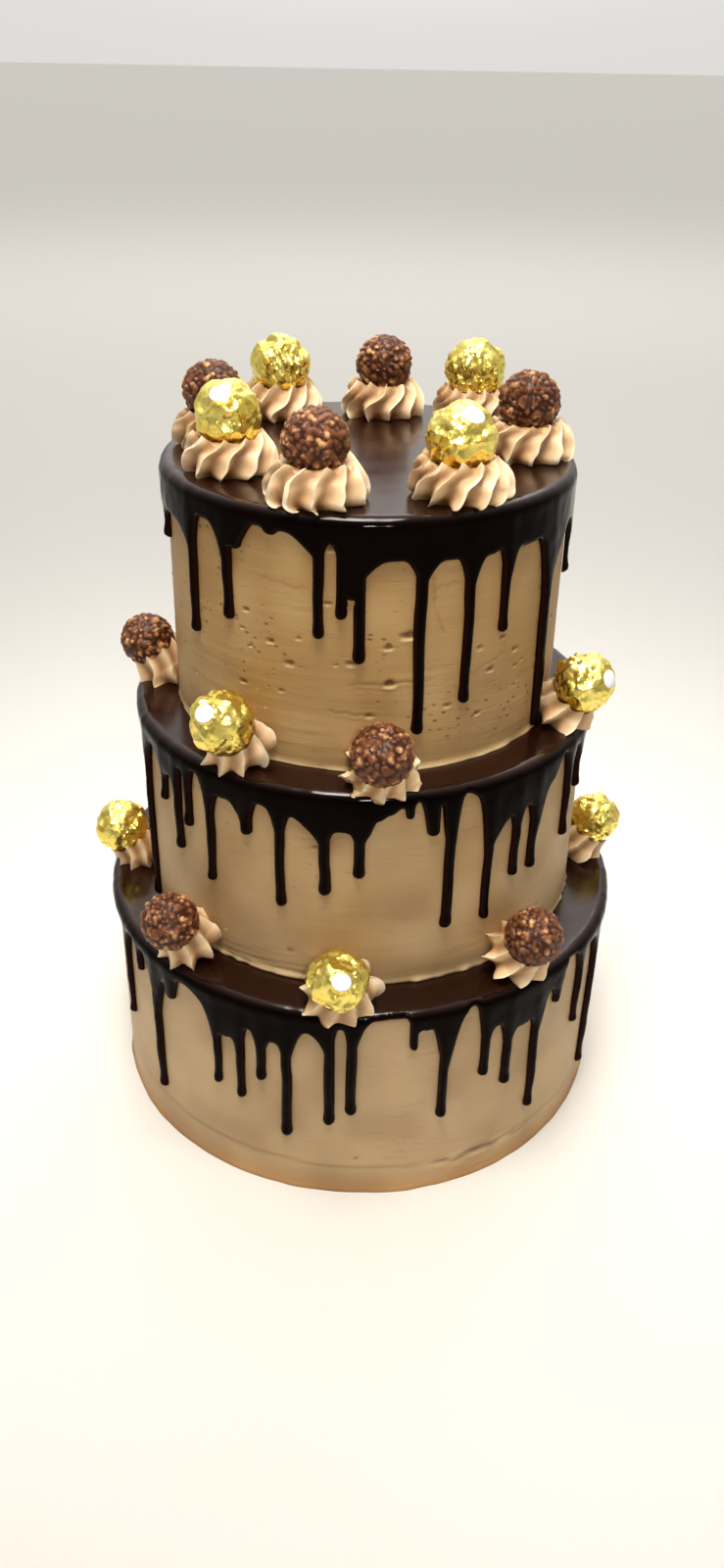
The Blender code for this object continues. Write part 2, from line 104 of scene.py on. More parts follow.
MIDDLE_DRIPS = (
    (-158.5, 113, 5, 8, 14, 8, 14), (-146.8, 38.5, 5, 4, 6, 3, 6), (-140.2, 60.5, 5.4, 3, 14, 2.4, 8),
    (-135.8, 42.5, 5, 2.4, 5, 4, 12), (-128.2, 68.3, 5.2, 5, 16, 4, 12), (-117.4, 32.5, 6.5, 8, 12, 4, 10),
    (-108.9, 69.3, 5.2, 5, 12, 4, 10), (-98.4, 59, 5.5, 6, 6, 3, 5), (-90.3, 47.8, 5.4, 3, 5, 4, 6),
    (-79, 14.8, 4.5, 2, 3, 2, 3), (-73.4, 26, 6.5, 5, 18, 2, 4), (-69.1, 82.3, 5.8, 4, 26, 4, 28),
    (-58.4, 83.2, 4.6, 6, 30, 10, 14), (-50.4, 63, 5, 3, 8, 3, 8), (-44.2, 64.2, 5.4, 4, 10, 10, 22),
    (-29, 60.3, 5.5, 5, 14, 6, 14), (-21.8, 38, 5, 5, 10, 6, 10), (2, 74, 5.4, 7, 12, 8, 14),
    (31, 52, 5.2, 6, 10, 6, 9), (62, 90, 5.6, 8, 16, 8, 13), (93, 44, 5.2, 5, 8, 7, 10),
    (124, 78, 5.5, 8, 13, 6, 11), (152, 56, 5.2, 6, 10, 6, 9), (176, 92, 5.4, 7, 12, 7, 12),
)
BOTTOM_SKIRT = (
    (-160, 10), (-150, 8), (-145, 7), (-129, 9.5), (-124.5, 14), (-118.4, 31), (-113, 20), (-107, 25),
    (-99.9, 14.5), (-93.3, 10), (-86.5, 4.8), (-83.1, 4.2), (-79.7, 4.2), (-76, 13), (-73, 10), (-65.3, 4.2),
    (-59.9, 22), (-52.3, 30), (-44, 16), (-38.5, 5), (-28, 10), (-10, 14), (20, 8), (50, 18), (80, 9),
    (110, 20), (140, 8), (165, 16),
)
BOTTOM_DRIPS = (
    (-154, 69.5, 4.6, 6, 14, 6, 14), (-146.3, 26, 4.6, 5, 8, 5, 6), (-139.8, 98, 5.4, 12, 22, 14, 36),
    (-134.2, 26, 8, 2, 3, 5, 14), (-120.9, 65.7, 4.8, 10, 16, 2, 6), (-115.1, 69.3, 5.2, 3, 12, 3, 8),
    (-110.3, 52.6, 5.4, 4, 10, 4, 8), (-104.8, 87.8, 5.4, 3, 6, 8, 14), (-95.6, 76.1, 5.4, 9, 14, 2.4, 8),
    (-91, 68.2, 5.6, 2.4, 10, 8, 14), (-78.4, 24.6, 4.6, 2, 4, 2, 4), (-71.8, 75.2, 5.4, 6, 22, 11, 34),
    (-62.2, 53.7, 5.4, 5, 18, 3, 8), (-56.4, 66.2, 5.4, 4, 12, 4, 8), (-48.3, 94.2, 5.6, 4, 8, 8, 20),
    (-41.9, 29.2, 5.4, 4, 8, 6, 14), (-32.2, 59.1, 5.2, 5, 12, 6, 14), (-22.8, 107.9, 5.6, 6, 14, 7, 16),
    (3, 62, 5.4, 7, 12, 8, 13), (30, 88, 5.6, 8, 14, 7, 12), (60, 48, 5.2, 5, 8, 7, 11),
    (90, 80, 5.5, 8, 15, 7, 12), (121, 58, 5.3, 7, 10, 6, 10), (150, 92, 5.6, 8, 14, 9, 15),
    (175, 60, 5.2, 6, 10, 7, 11),
)

FOIL_RADIUS = 16.5
NUT_RADIUS = 15.4
# Sweets in turn from the left past the front: kind, angle, distance from the axis, height over the ledge, reach of
# the cream, size, and for foil balls which way the blank sticker looks, round the axis and above the horizon.
TOP_SWEETS = (
    ("foil", -150, 75, 26, 23.4, 1.0, -102, 50), ("nut", -106, 83, 26, 24.4, 1.0),
    ("foil", -60, 81, 26, 24.4, 1.0, -62, 52), ("nut", -3, 77.5, 26, 24.0, 1.0),
    ("foil", 49, 85, 26, 22.6, 1.0, 70, 40), ("nut", 84, 73.5, 26, 23.2, 1.0),
    ("foil", 126, 81, 26, 23.4, 1.0, 120, 35), ("nut", 174.7, 77, 26, 21.0, 1.0),
)
MIDDLE_SWEETS = (
    ("nut", 178, 117.5, 20, 16, 0.955), ("foil", -123.4, 120, 25, 17, 1.0, -125, 39),
    ("nut", -85.8, 122.5, 21.5, 17, 1.0), ("foil", -22, 120, 23, 17, 1.0, -38, 23),
    ("nut", 44, 119, 24, 17, 1.0), ("foil", 78, 120, 25, 17, 1.0, 78, 40),
    ("nut", 110, 119, 24, 17, 1.0), ("foil", 144, 120, 24, 17, 1.0, 150, 30),
)
BOTTOM_SWEETS = (
    ("foil", -178, 138.5, 20, 16, 0.955, 165, 25), ("nut", -133, 142, 26, 17, 1.0),
    ("foil", -93.9, 145, 22.8, 20, 0.965, -81, 36), ("nut", -51.5, 142, 26, 18, 1.0),
    ("foil", 5, 138.5, 21, 17, 0.945, 20, 20), ("nut", 50, 141, 25, 17, 1.0),
    ("foil", 95, 142, 25, 18, 0.97, 95, 40), ("nut", 138, 141, 25, 17, 1.0),
)


# Numbers that vary smoothly in space

LATTICE = np.random.RandomState(11).uniform(-1.0, 1.0, (32, 32, 32))


def noise(points, scale, shift=0.0):
    """Smooth noise from -1 to 1 at each row of points, with grains of about the given size."""
    place = np.asarray(points, float) / scale + shift + 64.0
    cell = np.floor(place).astype(int)
    part = place - cell
    part = part * part * part * (part * (part * 6.0 - 15.0) + 10.0)
    total = np.zeros(place.shape[:-1])
    for corner in np.ndindex(2, 2, 2):
        weight = np.ones(place.shape[:-1])
        index = []
        for axis in range(3):
            weight = weight * (part[..., axis] if corner[axis] else 1.0 - part[..., axis])
            index.append((cell[..., axis] + corner[axis]) % 32)
        total += weight * LATTICE[tuple(index)]
    return total


def clamp(value):
    """Value kept between 0 and 1."""
    return np.clip(value, 0.0, 1.0)


def bell(value):
    """Bell curve, 1 at its middle."""
    return np.exp(-value ** 2)


def ease(value):
    """Smooth step from 0 to 1 as value goes from 0 to 1."""
    value = clamp(value)
    return value * value * (3.0 - 2.0 * value)


def wall_points(angle, radius, height):
    """Points at angles in degrees round the cake's axis."""
    turn = np.radians(angle)
    return np.stack(np.broadcast_arrays(radius * np.cos(turn), radius * np.sin(turn), height), axis=-1)


def wall_wave(angle, radius, height):
    """Slow unevenness of a tier's wall, which the cream and the ganache on it share."""
    points = wall_points(angle, radius, height)
    wave = 0.35 * noise(points, 46.0, 3.1) + 0.16 * noise(points, (34.0, 34.0, 15.0), 8.7)
    return wave - 0.15


def distance_round(angle, middle, radius):
    """Distance along a round wall from one angle to others, the short way."""
    return np.radians((angle - middle + 180.0) % 360.0 - 180.0) * radius


def unit(vectors):
    """Vectors made one long."""
    return vectors / np.linalg.norm(vectors, axis=-1, keepdims=True)


def noise_vectors(points, scale, shifts):
    """Three smooth noises at each row of points."""
    return np.stack([noise(points, scale, shift) for shift in shifts], axis=1)


def draw_for(name):
    """Random numbers of a piece's own, the same in every run."""
    total = 7
    for letter in name:
        total = (total * 31 + ord(letter)) % 1000003
    return np.random.RandomState(total)


# Pieces from arrays of points

def place_in_scene(name, data):
    """Make an object and put it in the scene."""
    thing = bpy.data.objects.new(name, data)
    bpy.context.scene.collection.objects.link(thing)
    return thing


def new_piece(name, points, faces, material, nodes, sharp=None, tone=None):
    """Make a smooth mesh of millimetre points, ride it on the cake and let it stand for its CAD nodes."""
    mesh = bpy.data.meshes.new(name)
    places = np.clip(np.asarray(points) * MM, LOWEST, HIGHEST)
    mesh.from_pydata(places.tolist(), [], faces)
    mesh.validate()
    mesh.polygons.foreach_set("use_smooth", [True] * len(mesh.polygons))
    if sharp is not None:
        mesh.set_sharp_from_angle(angle=math.radians(sharp))
    if tone is not None:
        layer = mesh.attributes.new("tone", "FLOAT", "POINT")
        layer.data.foreach_set("value", np.asarray(tone, np.float32))
    mesh.materials.append(material)
    piece = place_in_scene(name, mesh)
    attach(piece, "root")
    if nodes:
        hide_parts(*nodes)
    return piece


def capped_rings(grid):
    """Faces round a ring grid, closed with a middle point at each end. Rows go from the bottom to the top."""
    rows, columns, _axes = grid.shape
    points = np.concatenate((grid.reshape(-1, 3), [grid[0].mean(0)], [grid[-1].mean(0)]))
    last, middle = (rows - 1) * columns, rows * columns
    pairs = [(column, (column + 1) % columns) for column in range(columns)]
    faces = []
    for low in range(0, last, columns):
        high = low + columns
        faces += [(low + column, low + after, high + after, high + column) for column, after in pairs]
    for column, after in pairs:
        faces += [(middle, after, column), (middle + 1, last + column, last + after)]
    return points, faces


# Shaders

def srgb(red, green, blue):
    """Linear colour of an 8-bit colour."""
    out = []
    for value in (red, green, blue):
        value /= 255.0
        out.append(value / 12.92 if value <= 0.04045 else ((value + 0.055) / 1.055) ** 2.4)
    return (*out, 1.0)


class Shader:
    """The nodes of a material or world, with short calls for the ones used here."""

    def __init__(self, owner, main="Principled BSDF", place="Object"):
        owner.use_nodes = True
        self.owner, self.tree = owner, owner.node_tree
        self.main = self.tree.nodes[main]
        self.place = self.new("TexCoord").outputs[place]

    def new(self, kind):
        return self.tree.nodes.new("ShaderNode" + kind)

    def put(self, value, socket):
        """Give a socket a value, or link another node's output to it."""
        if isinstance(value, bpy.types.NodeSocket):
            self.tree.links.new(value, socket)
        else:
            socket.default_value = value

    def fill(self, node, output, inputs):
        """Put values in a node's inputs and return one of its outputs."""
        for name, value in inputs.items():
            self.put(value, node.inputs[name])
        return node.outputs[output]

    def texture(self, node, output, stretch, **inputs):
        inputs["Vector"] = self.fill(self.new("Mapping"), "Vector", {"Scale": stretch, "Vector": self.place})
        return self.fill(node, output, inputs)

    def noise(self, scale, detail=3.0, roughness=0.55, stretch=EVEN):
        return self.texture(self.new("TexNoise"), "Fac", stretch, Scale=scale, Detail=detail, Roughness=roughness)

    def voronoi(self, scale, feature="F1", stretch=EVEN):
        node = self.new("TexVoronoi")
        node.feature = feature
        return self.texture(node, "Distance", stretch, Scale=scale)

    # The mesh's tone: random variation of the surface together with painted light and shade, which the materials turn
    # into colour.
    def tone(self):
        node = self.new("Attribute")
        node.attribute_name = "tone"
        return node.outputs["Fac"]

    def height(self):
        return self.fill(self.new("SeparateXYZ"), "Z", {"Vector": self.place})

    def ramp(self, source, first, last, between=()):
        """Colours along source, from the share and colour of both ends and of stops between them."""
        node = self.new("ValToRGB")
        elements = node.color_ramp.elements
        for element, (share, color) in zip(elements, (first, last)):
            element.position, element.color = share, color
        for share, color in between:
            elements.new(share).color = color
        return self.fill(node, "Color", {"Fac": source})

    def shades(self, source, dark, light):
        """From one 8-bit colour to another as source goes through the middle of its span."""
        return self.ramp(source, (0.3, srgb(*dark)), (0.7, srgb(*light)))

    def span(self, source, low, high, to_low=0.0, to_high=1.0):
        inputs = {"Value": source, "From Min": low, "From Max": high, "To Min": to_low, "To Max": to_high}
        return self.fill(self.new("MapRange"), "Result", inputs)

    def math(self, operation, first, second=0.0):
        node = self.new("Math")
        node.operation = operation
        return self.fill(node, "Value", {0: first, 1: second})

    def mix(self, factor, first, second):
        node = self.new("Mix")
        node.data_type = "RGBA"
        return self.fill(node, 2, {0: factor, 6: first, 7: second})

    def tint(self, color, over, low, high, share=1.0, source=None):
        """Lay an 8-bit colour over another, from nothing where source, or else the mesh's tone with its painted light
        and shade, is low to its share where it is high.
        """
        return self.mix(self.span(source or self.tone(), low, high, 0.0, share), color, srgb(*over))

    def middle(self, source, low, high):
        """From low to high as source goes through the middle of its span."""
        return self.span(source, 0.3, 0.7, low, high)

    def finish(self, color, rough, height, distance, strength):
        """Set the colour, roughness and bump, and return the material."""
        inputs = {"Height": height, "Distance": distance, "Strength": strength}
        normal = self.fill(self.new("Bump"), "Normal", inputs)
        self.set(Base_Color=color, Roughness=rough, Normal=normal)
        return self.owner

    def set(self, **values):
        for name, value in values.items():
            self.put(value, self.main.inputs[name.replace("_", " ")])


def buttercream_material():
    look = Shader(bpy.data.materials.new("spread_buttercream"))
    patches = look.noise(16.0, 4.0)
    streaks = look.noise(30.0, 5.0, 0.65, (1.0, 1.0, 22.0))
    # Painted light: the cream turns lighter and pinker below 0.30 m, fully so under 0.10 m, for the light bounced up
    # from the floor onto the lower tiers.
    upper = look.shades(patches, (167, 133, 83), (178, 144, 95))
    lower = look.shades(patches, (182, 154, 114), (194, 166, 128))
    color = look.mix(look.span(look.height(), 0.30, 0.10), upper, lower)
    color = look.tint(color, (214, 184, 140), 0.50, 0.72, 0.14, streaks)
    holes = look.span(look.voronoi(165.0, "F1", (1.0, 1.0, 1.7)), 0.24, 0.12)
    holes = look.math("MULTIPLY", holes, look.span(look.noise(24.0), 0.50, 0.58))
    holes = look.math("MULTIPLY", holes, look.span(look.height(), 0.16, 0.26))
    drawn = look.math("SUBTRACT", look.noise(13.0, 3.0, 0.6, (1.0, 1.0, 11.0)), 0.5)
    lines = look.span(look.math("ABSOLUTE", drawn), 0.014, 0.002)
    lines = look.math("MULTIPLY", lines, look.span(look.noise(19.0), 0.50, 0.60))
    # Painted shade: the fine grooves and the pinholes, which the bump also cuts in, are painted darker.
    color = look.tint(color, (120, 82, 44), 0.0, 1.0, 0.16, lines)
    color = look.tint(color, (104, 66, 32), 0.0, 1.0, 0.70, holes)
    # Painted shade: a warmer, darker band over the lowest 14 mm, along the foot of the bottom tier.
    color = look.tint(color, (186, 134, 74), 0.014, 0.003, 0.5, look.height())
    # Painted shade where the tone is low and painted highlight where it is high: pits, scratches, creases and lips
    # carry both, besides the cream's random tone.
    color = look.tint(color, (84, 50, 22), 0.5, 0.0, 0.95)
    color = look.tint(color, (232, 206, 164), 0.5, 1.0, 0.85)
    look.set(Subsurface_Weight=0.08, Subsurface_Scale=0.002, Subsurface_Radius=(1.0, 0.55, 0.3))
    fine = look.math("MULTIPLY", look.noise(60.0, 5.0, 0.62, (1.0, 1.0, 16.0)), 0.6)
    grain = look.math("MULTIPLY", look.noise(900.0, 3.0, 0.6), 0.14)
    cuts = look.math("ADD", holes, look.math("MULTIPLY", lines, 0.5))
    height = look.math("SUBTRACT", look.math("ADD", fine, grain), cuts)
    return look.finish(color, look.middle(streaks, 0.44, 0.60), height, 0.0005, 0.5)


def piped_material():
    look = Shader(bpy.data.materials.new("piped_cream"))
    patches = look.noise(70.0)
    color = look.shades(patches, (219, 185, 141), (229, 197, 155))
    # Painted shade in the hollows, where tone is low, and painted highlight on the crests, where it is high.
    color = look.tint(color, (142, 92, 50), 0.5, 0.0, 0.95)
    color = look.tint(color, (253, 240, 214), 0.55, 1.0, 0.80)
    look.set(Subsurface_Weight=0.1, Subsurface_Scale=0.002, Subsurface_Radius=(1.0, 0.6, 0.35))
    return look.finish(color, look.middle(patches, 0.38, 0.5), look.noise(420.0, 4.0, 0.6), 0.0003, 0.4)


def ganache_material():
    look = Shader(bpy.data.materials.new("dark_ganache"))
    color = look.shades(look.noise(22.0), (10, 3, 1), (18, 6, 3))
    # Painted warm light at the thin edges, where tone is low, and painted reflection, lighter brown, on the lids and
    # rounded rim, where tone is high.
    color = look.tint(color, (58, 24, 11), 0.7, 0.25, 0.45)
    color = look.tint(color, (40, 18, 10), 0.82, 0.92)
    sheen = look.middle(look.noise(60.0, 4.0), 0.07, 0.14)
    rough = look.math("ADD", sheen, look.span(look.tone(), 0.80, 1.0, 0.0, 0.13))
    look.set(IOR=1.5, Specular_IOR_Level=look.span(look.tone(), 0.78, 1.0, 0.07, 0.70))
    return look.finish(color, rough, look.noise(75.0), 0.0006, 0.10)


def foil_material():
    look = Shader(bpy.data.materials.new("crumpled_gold_foil"))
    color = look.shades(look.noise(90.0), (250, 224, 112), (255, 238, 146))
    color = look.tint(color, (232, 178, 54), 0.42, 0.0, 0.6)
    look.set(Metallic=1.0)
    creases = look.math("ADD", look.voronoi(380.0, "DISTANCE_TO_EDGE"), look.noise(420.0, 3.0, 0.6))
    return look.finish(color, look.middle(look.noise(260.0), 0.24, 0.36), creases, 0.0005, 0.28)


def nut_material():
    look = Shader(bpy.data.materials.new("nut_chocolate"))
    patches = look.noise(150.0)
    color = look.shades(patches, (108, 66, 42), (134, 86, 57))
    # Painted shade in the gaps between the nut bits, where tone is low.
    color = look.tint(color, (46, 23, 13), 0.5, 0.05, 0.92)
    nuts = look.math("MULTIPLY", look.span(look.tone(), 0.6, 0.95), look.span(patches, 0.46, 0.60))
    color = look.mix(nuts, color, srgb(216, 168, 116))
    look.set(Specular_IOR_Level=0.38)
    rough = look.middle(look.noise(300.0), 0.30, 0.48)
    return look.finish(color, rough, look.noise(700.0, 4.0, 0.6), 0.0003, 0.5)


def sticker_material():
    look = Shader(bpy.data.materials.new("blank_sticker"))
    fibres = look.noise(500.0, 4.0)
    color = look.shades(fibres, (238, 238, 238), (248, 248, 246))
    return look.finish(color, look.middle(fibres, 0.35, 0.5), fibres, 0.0002, 0.4)


# Buttercream tiers

# Torn pits in the top tier's wall: angle, height, half width, depth.
PITS = (
    (-99.0, 351.0, 2.4, 1.3), (-99.9, 325.2, 1.7, 0.9), (-93.4, 296.5, 2.2, 1.0), (-115.9, 302.9, 2.0, 1.1),
    (-123.4, 315.3, 1.7, 0.9), (-78.6, 310.3, 3.4, 1.5), (-83.8, 304.7, 2.2, 1.2), (-83.2, 286.5, 3.2, 1.4),
    (-53.2, 286.1, 2.2, 1.1), (-88.4, 270.1, 2.0, 1.0), (-49.5, 300.8, 1.8, 1.0), (-57.5, 299.0, 2.0, 0.8),
    (-66.7, 272.4, 1.8, 0.9), (-57.0, 264.5, 2.0, 0.9), (-122.0, 298.2, 1.4, 0.7), (-107.6, 306.7, 1.3, 0.6),
    (-112.8, 278.6, 1.8, 0.7), (-110.4, 293.5, 2.6, 0.6),
)
# Scratches in the top tier's wall: start angle and height, end angle and height, depth.
SCRATCHES = (
    (-97, 285.6, -69.5, 287.0, 0.55), (-101, 271.8, -88.4, 269.8, 0.6), (-72.6, 340.5, -71.9, 322.5, 0.7),
    (-71.9, 322.5, -68.7, 308.4, 0.7), (-63, 285.0, -47, 293.5, 0.35), (-120, 333, -104, 331, 0.3),
    (-113, 296, -105, 291, 0.4), (-73, 332, -64, 334, 0.4),
)


def columns_for(radius, front_step, back_step):
    """Angles round a tier, closer together in front."""
    angles = [-180.0]
    while angles[-1] < 180.0:
        front = abs(angles[-1] + 90.0) < 84.0
        angles.append(angles[-1] + math.degrees((front_step if front else back_step) / radius))
    angles = np.array(angles[:-1])
    return -180.0 + (angles + 180.0) * 360.0 / (angles[-1] + 180.0 + 360.0 / len(angles) * 0.9)


def scattered_pits(draw, radius, low, high, count):
    """Draw more pits all round a tier, thick in patches."""
    pits = []
    while len(pits) < count:
        angle = draw.uniform(-180.0, 180.0)
        height = low + (high - low) * draw.uniform() ** 1.3
        dense = float(noise(wall_points(angle, radius, height), 34.0, 5.5))
        if dense + 0.25 < draw.uniform(0.0, 0.9):
            continue
        size = 0.55 + 1.5 * draw.uniform() ** 2.2
        pits.append((angle, height, size, 0.25 + 0.45 * size * draw.uniform(0.5, 1.0)))
    return pits


def carve(depth, tone, angle, height, radius, pits, scratches):
    """Press pits with a torn lip under them, and long scratches, into a wall, with painted shade in pits and scratches
    and a painted highlight on the lips.
    """
    for middle, level, size, deep in pits:
        away = distance_round(angle, middle, radius)
        near = (np.abs(away) < 5.0 * size + 3.0) & (np.abs(height - level) < 4.0 * size)
        if not near.any():
            continue
        across = away[near] / (0.8 * size)
        up = (height[near] - level) / (size * 0.44)
        ragged = 1.0 + 0.35 * np.sin(3.1 * across + middle) + 0.2 * np.sin(5.3 * up + level)
        hole = 1.0 / (1.0 + ((across ** 2 + up ** 2) * ragged) ** 4.0)
        lip = np.exp(-(across / 1.2) ** 4 - ((up + 1.6) / 0.5) ** 2)
        drag = bell(up * 1.6) * np.exp(-np.abs(across) / 2.4)
        depth[near] += -1.25 * deep * hole + 0.55 * deep * lip - 0.08 * deep * drag
        # Painted shade in the pit and a painted highlight on the lip under it.
        tone[near] += -0.30 * hole + 0.42 * lip
    for start, start_height, end, end_height, deep in scratches:
        run = np.array([math.radians(end - start) * radius, end_height - start_height])
        away = distance_round(angle, start, radius)
        rise = height - start_height
        share = clamp((away * run[0] + rise * run[1]) / (run @ run))
        wobble = 0.5 * np.sin(share * 17.0 + start) + 0.3 * np.sin(share * 41.0)
        over = rise - share * run[1] - wobble
        side = np.hypot(away - share * run[0], over)
        body = ease(share * 6.0) * ease((1.0 - share) * 6.0)
        depth += bell(side / 0.5) * -0.8 * deep * body
        depth += bell((side - 1.2) / 0.6) * (over < 0) * 0.4 * deep * body
        # Painted shade along the scratch.
        tone += bell(side / 0.7) * -0.12 * body


def build_cream_tier(tier, radius, foot, top, step, marks, pits, scratches, foot_shape, material):
    """Sweep a tier's side round, then spread, pit and scratch its wall."""
    top_inner = top - SKIN - SKIN_GAP
    angle = columns_for(radius, step, step * 1.9)
    heights = np.concatenate((
        foot + np.array([0.0, 0.35, 0.8, 1.3, 1.9, 2.6, 3.4]),
        np.arange(foot + 4.2, top_inner - RIM - 0.5, 0.85 * step),
    ))
    around, height = np.meshgrid(angle, heights)
    points = wall_points(around, radius, height)
    depth = wall_wave(around, radius, height)
    tone = NEUTRAL + 0.10 * noise(points, 21.0, 1.7)
    patch = clamp(0.55 + 0.9 * noise(points, (52.0, 52.0, 26.0), 12.3))
    streaks = 0.10 * noise(points, (38.0, 38.0, 2.6), 2.9) + 0.07 * noise(points, (20.0, 20.0, 1.3), 6.1) * patch
    depth += marks * streaks
    carve(depth, tone, around, height, radius, pits, scratches)
    foot_shape(depth, tone, around, height - foot, points)
    rings = [wall_points(angle, share * radius, foot) for share in (0.5, 0.97)]
    rings += list(wall_points(around, radius + depth, height))
    for turn in np.radians((20.0, 45.0, 70.0, 90.0)):
        away = radius - RIM + RIM * math.cos(turn) - 0.2
        rings.append(wall_points(angle, away, top_inner - RIM + RIM * math.sin(turn)))
    mesh_points, faces = capped_rings(np.stack(rings))
    tones_and_shading = np.pad(tone, ((2, 4), (0, 0)), constant_values=NEUTRAL).ravel()
    tones_and_shading = np.append(tones_and_shading, (NEUTRAL, NEUTRAL))
    new_piece("buttercream_" + tier, mesh_points, faces, material, ["tier_" + tier], tone=tones_and_shading)


def plain_foot(depth, tone, angle, above, points):
    """Lower edge of the top tier, pressed thin against the ledge, with a painted highlight along it."""
    edge = bell(above / 1.8)
    depth += edge * (0.55 + 0.9 * np.clip(noise(points, (6.0, 6.0, 60.0), 4.4), -0.4, 1.0))
    # Painted highlight on the pressed edge.
    tone += edge * 0.45


def ragged_foot(depth, tone, angle, above, points):
    """Lower edge of the middle tier: a torn ridge with a painted highlight and painted shade in its tears, with comb
    lines above it on the left, painted lighter on their ridges and darker between them.
    """
    edge = bell((above - 1.2) / 1.7)
    torn = noise(points, (4.2, 4.2, 60.0), 9.9)
    depth += edge * (0.55 + 1.1 * np.clip(torn, -0.35, 1.0))
    # Painted highlight on the ridge and painted shade where it tears low.
    tone += edge * 0.42
    tone -= bell(above) * clamp(-torn * 2.0) * 0.9
    comb = np.exp(-((angle + 112.0) / 17.0) ** 4) * ease((above - 1.5) / 2.0) * ease((13.0 - above) / 5.0)
    slant = above + 0.10 * (angle + 112.0)
    depth += comb * 0.34 * np.sin(slant * TURN / 2.5)
    # Painted highlight on the comb ridges and painted shade between them.
    tone += comb * 0.10 * np.sin(slant * TURN / 2.5)


def wide_foot(depth, tone, angle, above, points):
    """Lower edge of the bottom tier: a lip that spreads outwards, with a crease above it, both with painted shade."""
    lip = bell(above / 1.7)
    depth += lip * (1.1 + 0.7 * noise(points, (12.0, 12.0, 60.0), 7.7))
    # Painted shade on the lip.
    tone -= lip * 0.20
    line = 19.0 + 2.5 * np.sin(np.radians(angle) * 2.0 + 0.6) + 1.2 * noise(points, (18.0, 18.0, 60.0), 2.2)
    crease = bell((above - line) / 1.1)
    depth -= crease * 0.42
    depth += bell((above - line - 2.2) / 1.6) * 0.22
    rough = np.exp(-((angle + 62.0) / 13.0) ** 4) * bell((above - line + 1.0) / 4.5)
    depth += rough * 0.8 * noise(points, (6.0, 6.0, 1.5), 3.3)
    # Painted shade in the crease; the rough patch only varies its tone at random.
    tone -= crease * 0.12
    tone += rough * 0.35 * noise(points, (9.0, 9.0, 2.0), 8.8)


# Ganache

def skirt_depth(skirt, angle):
    """Depth of the skirt between the drips."""
    rows = np.array([(skirt[-1][0] - 360.0, skirt[-1][1]), *skirt, (skirt[0][0] + 360.0, skirt[0][1])])
    left = np.clip(np.searchsorted(rows[:, 0], angle) - 1, 0, len(rows) - 2)
    part = (angle - rows[left, 0]) / (rows[left + 1, 0] - rows[left, 0])
    return rows[left, 1] + (rows[left + 1, 1] - rows[left, 1]) * ease(part)


def edge_depth(skirt, drips, radius, angle):
    """Depth of the ganache's lower edge."""
    base = skirt_depth(skirt, angle)
    depth = base.copy()
    for middle, tip, width, left_reach, left_deep, right_reach, right_deep in drips:
        half = width / 2.0
        away = distance_round(angle, middle, radius)
        inside = np.abs(away) <= half
        stem = tip - half * (1.0 - np.sqrt(clamp(1.0 - (away / half) ** 2)))
        reach = np.where(away < 0.0, left_reach, right_reach)
        deep = np.minimum(np.where(away < 0.0, left_deep, right_deep), np.maximum(0.0, tip - half - base))
        fade = clamp(1.0 - (np.abs(away) - half) / reach)
        depth = np.maximum(depth, np.where(inside, stem, base + deep * fade * fade))
    return depth


ARC = RIM * TURN / 4.0


def depth_to_path(depth):
    """Length along the skin from where its rim starts to bend, at a depth below its top."""
    bend = RIM * np.arccos(clamp(1.0 - (depth - SKIN) / RIM))
    return np.where(depth < SKIN + RIM, bend, ARC + depth - SKIN - RIM)


def resample(line, step):
    """Points at even steps along a line."""
    length = np.concatenate(([0.0], np.cumsum(np.hypot(*np.diff(line, axis=0).T))))
    count = max(2, int(length[-1] / step))
    marks = np.linspace(0.0, length[-1], count + 1)
    return np.stack((np.interp(marks, length, line[:, 0]), np.interp(marks, length, line[:, 1])), axis=1)


def distance_to_line(points, line, reach=8.0):
    """Distance from points to a line, cut off at reach."""
    result = np.full(len(points), reach)
    starts, ends = line[:-1], line[1:]
    low, high = np.minimum(starts[:, 0], ends[:, 0]), np.maximum(starts[:, 0], ends[:, 0])
    for left in np.arange(points[:, 0].min(), points[:, 0].max() + 1.0, 12.0):
        here = np.nonzero((points[:, 0] >= left) & (points[:, 0] < left + 12.0))[0]
        close = (high >= left - reach) & (low <= left + 12.0 + reach)
        if len(here) == 0 or not close.any():
            continue
        a, run = starts[close], (ends - starts)[close]
        square = np.maximum((run ** 2).sum(1), 1e-12)
        gap = points[here][:, None, :] - a[None]
        share = clamp((gap * run[None]).sum(2) / square[None])
        side = gap - share[..., None] * run[None]
        result[here] = np.minimum(reach, np.sqrt((side ** 2).sum(2)).min(1))
    return result


def thin_out(points, cell):
    """Keep at most one point in each square cell."""
    keys = np.floor(points / cell).astype(int)
    _unique, first = np.unique(keys, axis=0, return_index=True)
    return points[np.sort(first)]


def triangulate(points, boundary, edge=None):
    """Triangles inside a closed boundary, whose corners come first in points, and above a lower edge."""
    edges = [(i, (i + 1) % boundary) for i in range(boundary)]
    vectors = [Vector(p) for p in points.tolist()]
    found = delaunay_2d_cdt(vectors, edges, [], 1, 1e-5, False)
    flat = np.array([tuple(v) for v in found[0]])
    faces = np.array([tuple(f) for f in found[2]])
    if edge is not None:
        middle = flat[faces].mean(1)
        faces = faces[middle[:, 1] < np.interp(middle[:, 0], edge[:, 0], edge[:, 1])]
    return flat, [tuple(face) for face in faces.tolist()]


